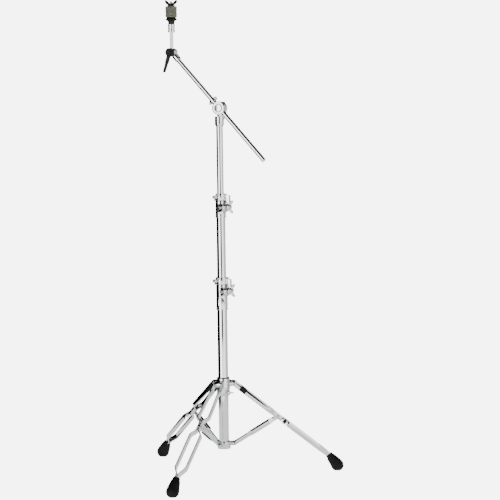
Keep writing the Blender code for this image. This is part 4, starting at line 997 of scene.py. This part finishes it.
boom_side = np.cross(pivot_line, rising)
clamp = np.array([pivot, boom_side, pivot_line, rising])
face = facing(clamp, "zxy")
disc = turned_section([(BOLT_BORE, DISC_BACK), (DISC_RADIUS, DISC_BACK),
                       (DISC_RADIUS, DISC_FRONT), (EYE_RADIUS + FIT, DISC_FRONT),
                       (EYE_RADIUS + FIT, EYE_SEAT), (BOLT_BORE, EYE_SEAT)], 0.0013, face)
piece("cast_boom_clamp", [disc], cast_chrome, "boom_clamp", "boom_clamp")
eye = turned_solid([(0.0006, 0.0091), (EYE_RADIUS, 0.0091), (EYE_RADIUS, -0.0065),
                    (0.0036, -0.0065), (0.0036, -0.017)], 0.0011, face)
thread = threaded(radius=0.004, pitch=COARSE_PITCH, low=-0.03085, high=-0.016, place=face)
piece("eye_bolt", [eye, thread], chrome, "boom_clamp", "boom_eye_bolt")
wing_nut("boom_wing_nut", start=0.0166, bore=0.0041)


# The boom: a half-inch chromed steel tube, with a turned plug in its lower end. A small
# stop collar with a key screw and a round boss is set on it above the clamp.
BOOM_RADIUS = 0.00635
BOOM_TOP = 0.2035
BOOM_BOTTOM = -0.167
PLUG_BOTTOM = -0.203
STOP_LOW = 0.023
STOP_HIGH = 0.033

shank = turned_solid([(0.0008, BOOM_BOTTOM), (BOOM_RADIUS, BOOM_BOTTOM), (BOOM_RADIUS, BOOM_TOP),
                      (0.0008, BOOM_TOP)], 0.0005, clamp)
piece("chromed_boom", [shank], chrome, "boom_rod", "boom_rod")
plug = turned_solid([(0.0008, PLUG_BOTTOM), (BOOM_RADIUS, PLUG_BOTTOM),
                     (BOOM_RADIUS, BOOM_BOTTOM - FIT), (0.0045, BOOM_BOTTOM - FIT)], 0.0014,
                    clamp)
piece("boom_plug", [plug], chrome, "boom_rod", "boom_end_plug")
stop = turned_ring(BOOM_RADIUS, 0.01, STOP_LOW, STOP_HIGH, 0.0009, clamp)
across_boom = facing(clamp, "yzx")
across_boom[0] += rising * (STOP_LOW + STOP_HIGH) / 2
key_screw = turned_solid([(0.003, 0.008), (0.003, 0.0152), (0.0006, 0.016)], 0.0006,
                         across_boom, 40)
boss = turned_solid([(0.0046, -0.008), (0.0046, -0.0138), (0.0006, -0.0145)], 0.0012,
                    across_boom, 40)
piece("stop_collar", [stop, key_screw, boss], cast_chrome, "boom_rod", "boom_stop_collar")


# The cymbal tilter's fixed half: a chromed casting pushed on the end of the boom, with a
# round face that the post turns on. A zinc-plated bolt goes through both.
SOCKET_DISC_RADIUS = 0.012
SOCKET_DISC_BACK = -0.014
SOCKET_DISC_FRONT = -0.0054

hinge = np.array(joints["cymbal_tilt"]["pos_m"])
boom_end = np.array([hinge, boom_side, pivot_line, rising])
end_face = facing(boom_end, "zxy")
disc = turned_ring(BOLT_BORE, SOCKET_DISC_RADIUS, SOCKET_DISC_BACK, SOCKET_DISC_FRONT, 0.001,
                   end_face)
sleeve = turned_solid([(0.006, -0.0305), (0.0082, -0.0305), (0.0082, -0.0124),
                       (0.001, -0.0118)], 0.001, boom_end)
bridge = softened([(-0.0062, -0.0265), (0.0062, -0.0265), (0.0065, -0.006),
                   (-0.0065, -0.006)], 0.002, 5)
piece("cast_tilter_socket", [disc, sleeve, plate(bridge, -0.013, -0.0056, 0.001,
                                                 facing(boom_end, "xzy"))],
      cast_chrome, "boom_rod", "tilter_socket")
screw = turned_solid([(0.0006, -0.0188), (0.0066, -0.0188), (0.007, -0.018),
                      (0.007, -0.0143), (0.004, -0.0143), (0.004, 0.0152),
                      (0.0006, 0.0152)], 0.0006, end_face, 56)
piece("tilter_screw", [screw], zinc, "boom_rod", "tilter_bolt")


# The cymbal post: a chromed steel rod with a round eye at its foot, threaded from the
# cup washer up.
POST_RADIUS = 0.005
POST_PLAIN_TOP = 0.08
THREAD_RADIUS = 0.004
THREAD_START = 0.0795
THREAD_END = 0.1438

post_place = np.array([hinge, back, pivot_line, (0, 0, 1)])
eye_ring = turned_ring(BOLT_BORE, 0.0114, -0.0051, 0.0082, 0.0009, facing(post_place, "zxy"))
rod = turned_solid([(0.003, 0.006), (POST_RADIUS, 0.006), (POST_RADIUS, POST_PLAIN_TOP),
                    (0.0036, POST_PLAIN_TOP + 0.0004)], 0.0006, post_place)
tip = turned_solid([(0.0037, 0.1436), (0.0037, 0.144), (0.0028, 0.1448), (0.0006, 0.1448)],
                   0.0003, post_place, 36)
thread = threaded(THREAD_RADIUS, COARSE_PITCH, THREAD_START, THREAD_END, post_place)
piece("threaded_post", [eye_ring, rod, thread, tip], chrome, "tilter", "cymbal_rod")


# The tilter's lever: a moulded black hub on the end of the bolt, with a tapered arm that
# hangs down beside the boom and steps in halfway along.
LEVER_LENGTH = 0.0595
LEVER_TURN = 18.6
LEVER_TIP_RADIUS = 0.0036
ARM_BACK = 0.0096
ARM_FRONT = 0.0168

lever_black = finish("satin black plastic", "black_plastic", (0.003, 0.003, 0.003), 0.44,
                     shine=0.16)
spread_roughness(lever_black, noise(lever_black, 150.0, 4.0), 0.38, 0.56)
spread_colour(lever_black, noise(lever_black, 60.0, 3.0), (0.002, 0.002, 0.002),
              (0.005, 0.005, 0.005))
bumped(lever_black, noise(lever_black, 1000.0, 3.0), 0.2, 0.0001)

lean = math.radians(LEVER_TURN)
arm_down = back * math.sin(lean) - np.array([0, 0, math.cos(lean)])
arm_side = back * math.cos(lean) + np.array([0, 0, math.sin(lean)])
arm_place = np.array([hinge, arm_side, -arm_down, pivot_line])
hub = turned_solid([(0.0044, 0.0085), (0.0123, 0.0085), (0.0123, 0.0174), (0.0112, 0.018),
                    (0.0094, 0.018), (0.0091, 0.0174), (0.0006, 0.0172)], 0.0008, arm_place)
arm_side_edge = [(0.0041, -0.034), (0.0052, -0.03), (0.0056, -0.006)]
arm = np.concatenate([[(-x, y) for x, y in arm_side_edge[::-1]],
                      arc((0, LEVER_TIP_RADIUS - LEVER_LENGTH), LEVER_TIP_RADIUS, 190, 350, 16),
                      arm_side_edge])
piece("locking_lever", [hub, plate(softened(arm, 0.0008, 3), ARM_BACK, ARM_FRONT, 0.0016,
                                   arm_place)],
      lever_black, "tilter_lever", "tilter_lever")


# The seat sleeve: a chromed steel collar on the post that the cup washer rests on, held
# by two square-headed key screws.
SEAT_BORE = 0.0051
SEAT_SCREW_HEIGHT = 0.069
SEAT_SCREW_TURNS = (-20.0, 160.0)
KEY_SQUARE_HALF = 0.0019

square = softened(KEY_SQUARE_HALF * np.array([(-1, -1), (1, -1), (1, 1), (-1, 1)]), 0.0004, 3)
shells = [turned_section([(SEAT_BORE, 0.057), (0.01, 0.057), (0.01, 0.064),
                          (0.0093, 0.0646), (0.0093, 0.0734), (0.01, 0.074),
                          (0.01, 0.0797), (SEAT_BORE, 0.0797)], 0.0007, post_place)]
for azimuth in SEAT_SCREW_TURNS:
    angle = math.radians(azimuth)
    out = back * math.cos(angle) + pivot_line * math.sin(angle)
    screw = along(hinge + (0, 0, SEAT_SCREW_HEIGHT), out, (0, 0, 1))
    shells.append(turned_solid([(0.0026, 0.008), (0.0026, 0.0104), (0.0022, 0.0108)], 0.0003,
                               screw, 32))
    shells.append(plate(square, 0.01, 0.013, 0.0004, screw))
piece("seat_collar", shells, chrome, "tilter", "seat_sleeve")


# The cup washer: moulded black plastic, with a hub on the sleeve, a wide brim and a low hat
# that the lower felt sits on.
cup = turned_section([(BOLT_BORE, 0.08), (0.0088, 0.08), (0.0096, 0.088),
                      (0.0158, 0.0924), (0.0177, 0.0929), (0.0177, 0.0942), (0.0148, 0.0954),
                      (0.0128, 0.0993), (BOLT_BORE, 0.0993)], 0.0008, post_place)
piece("black_cup_washer", [cup], plastic, "tilter", "cup_washer")


# The two felts: thick washers punched from pressed grey-green wool felt, flecked light and
# dark, with loose fibres standing off their sides. They are soft and nearly full.
FELT_RADIUS = 0.0165
FELT_BORE = 0.0047
FELT_HEIGHT = 0.0152
FELT_EDGE = 0.0009
WAVE_HEIGHT = 0.00018
WAVE_START = 0.008
WAVE_RUN = 0.006
FIBRE_COUNT = 900
FIBRE_LENGTH = 0.0016
FIBRE_RADIUS = 0.000035
FIBRE_STATIONS = 4
FIBRE_CORNERS = 3
ROOT_MARGIN = 0.0012
END_MARGIN = 0.0004

wool = finish("pressed wool felt", "grey_green_felt", (0.15, 0.15, 0.11), 0.96, shine=0.2)
spread_colour(wool, noise(wool, 620.0, 7.0, (1, 1, 1.6)), (0.02, 0.02, 0.012),
              (0.185, 0.19, 0.14), 0.11)
pile = bumped(wool, noise(wool, 260.0, 6.0, (1, 1, 1.6)), 0.75, 0.0007)
bumped(wool, noise(wool, 1500.0, 4.0), 0.6, 0.00025, pile)
shader = wool.node_tree.nodes["Principled BSDF"]
shader.inputs["Sheen Weight"].default_value = 0.35
shader.inputs["Sheen Roughness"].default_value = 0.5


def pressed_washer(low, place):
    """A washer's section turned, its side moved by three slow waves of the angle a and
    height h: WAVE_HEIGHT (sin(5a + 900h) + sin(11a - 1400h) + sin(23a + 2200h)) / 2.
    """
    high = low + FELT_HEIGHT
    shoulder = FELT_RADIUS - FELT_EDGE
    section = softened([(FELT_BORE, low), (shoulder, low), (FELT_RADIUS, low + FELT_EDGE),
                        (FELT_RADIUS, (low + high) / 2), (FELT_RADIUS, high - FELT_EDGE),
                        (shoulder, high), (FELT_BORE, high)], 0.001, 6)
    angle = np.linspace(0, 2 * np.pi, 160, endpoint=False)[None]
    radius, height = section[:, :1], section[:, 1:]
    wave = (np.sin(5 * angle + 900 * height) + np.sin(11 * angle - 1400 * height)
            + np.sin(23 * angle + 2200 * height)) / 2
    radius = radius + WAVE_HEIGHT * wave * np.clip((radius - WAVE_START) / WAVE_RUN, 0, 1)
    points = np.stack([radius * np.cos(angle), radius * np.sin(angle),
                       np.broadcast_to(height, radius.shape)], axis=-1)
    return skin(moved(points, place), ring=True)


def loose_fibres(low, place, seed):
    """Thin three-sided fibres that leave the washer's side, lie over and curl.

    Point s along a fibre is out from its root by s sin(lift), round by
    (sideways s + curl s s) and up or down by s (1 - |sideways|).
    """
    chance = np.random.default_rng(seed)
    angle = chance.uniform(0, 2 * np.pi, (FIBRE_COUNT, 1))
    root_z = low + chance.uniform(ROOT_MARGIN, FELT_HEIGHT - ROOT_MARGIN, (FIBRE_COUNT, 1))
    lift = chance.uniform(0.15, 0.75, (FIBRE_COUNT, 1))
    sideways = chance.uniform(-1, 1, (FIBRE_COUNT, 1))
    curl = chance.uniform(-250, 250, (FIBRE_COUNT, 1))
    length = chance.uniform(0.4, 1, (FIBRE_COUNT, 1)) * FIBRE_LENGTH
    run = np.linspace(0, 1, FIBRE_STATIONS)[None] * length
    radius = FELT_RADIUS - 0.0003 + run * np.sin(lift)
    angle = angle + (sideways * run + curl * run * run) / FELT_RADIUS
    height = np.clip(root_z + run * (1 - np.abs(sideways)) * np.sign(curl), low + END_MARGIN,
                     low + FELT_HEIGHT - END_MARGIN)
    outwards = np.stack([np.cos(angle), np.sin(angle), 0 * angle], axis=-1)
    spine = radius[..., None] * outwards + height[..., None] * np.array([0, 0, 1.0])
    corner = np.linspace(0, 2 * np.pi, FIBRE_CORNERS, endpoint=False)[None, None, :, None]
    points = spine[:, :, None] + FIBRE_RADIUS * (
        np.cos(corner) * outwards[:, :, None] + np.sin(corner) * np.array([0, 0, 1.0]))
    index = np.arange(points[..., 0].size).reshape(points.shape[:3])
    near, far = index[:, :-1], index[:, 1:]
    quads = np.stack([near, np.roll(near, -1, 2), np.roll(far, -1, 2), far], axis=-1)
    ends = list(index[:, 0, ::-1]) + list(index[:, -1])
    return moved(points, place).reshape(-1, 3), quads.reshape(-1, 4), ends


for name, low, body, seed in (("lower_felt", 0.0996, "tilter", 3),
                              ("upper_felt", 0.1151, "upper_felt", 8)):
    washer = piece(f"wool_{name}", [pressed_washer(low, post_place),
                                    loose_fibres(low, post_place, seed)], wool, body, name)


# The cymbal wing nut: moulded black plastic round a threaded insert, with a flat foot on
# the upper felt and two tall ears that flare outwards.
NUT_START = 0.1306

nut_place = wing_place("cymbal_wing_nut_turn", (1, 0, 0))
foot = turned_section([(BOLT_BORE, NUT_START), (0.011, NUT_START),
                       (0.011, NUT_START + 0.0026), (0.0074, NUT_START + 0.0036),
                       (0.0062, NUT_START + 0.006), (BOLT_BORE, NUT_START + 0.006)], 0.0007,
                      facing(nut_place, "yzx"), 64)
ears = wing_ears(start=NUT_START + 0.0015, reach=0.017, root=0.0058, span=0.0177,
                 thickness=0.0062, place=nut_place)
piece("black_cymbal_nut", [foot, *ears], plastic, "cymbal_wing_nut", "cymbal_wing_nut")


size = {"cad": cad_box, "visual": [list(corner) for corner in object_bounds()]}
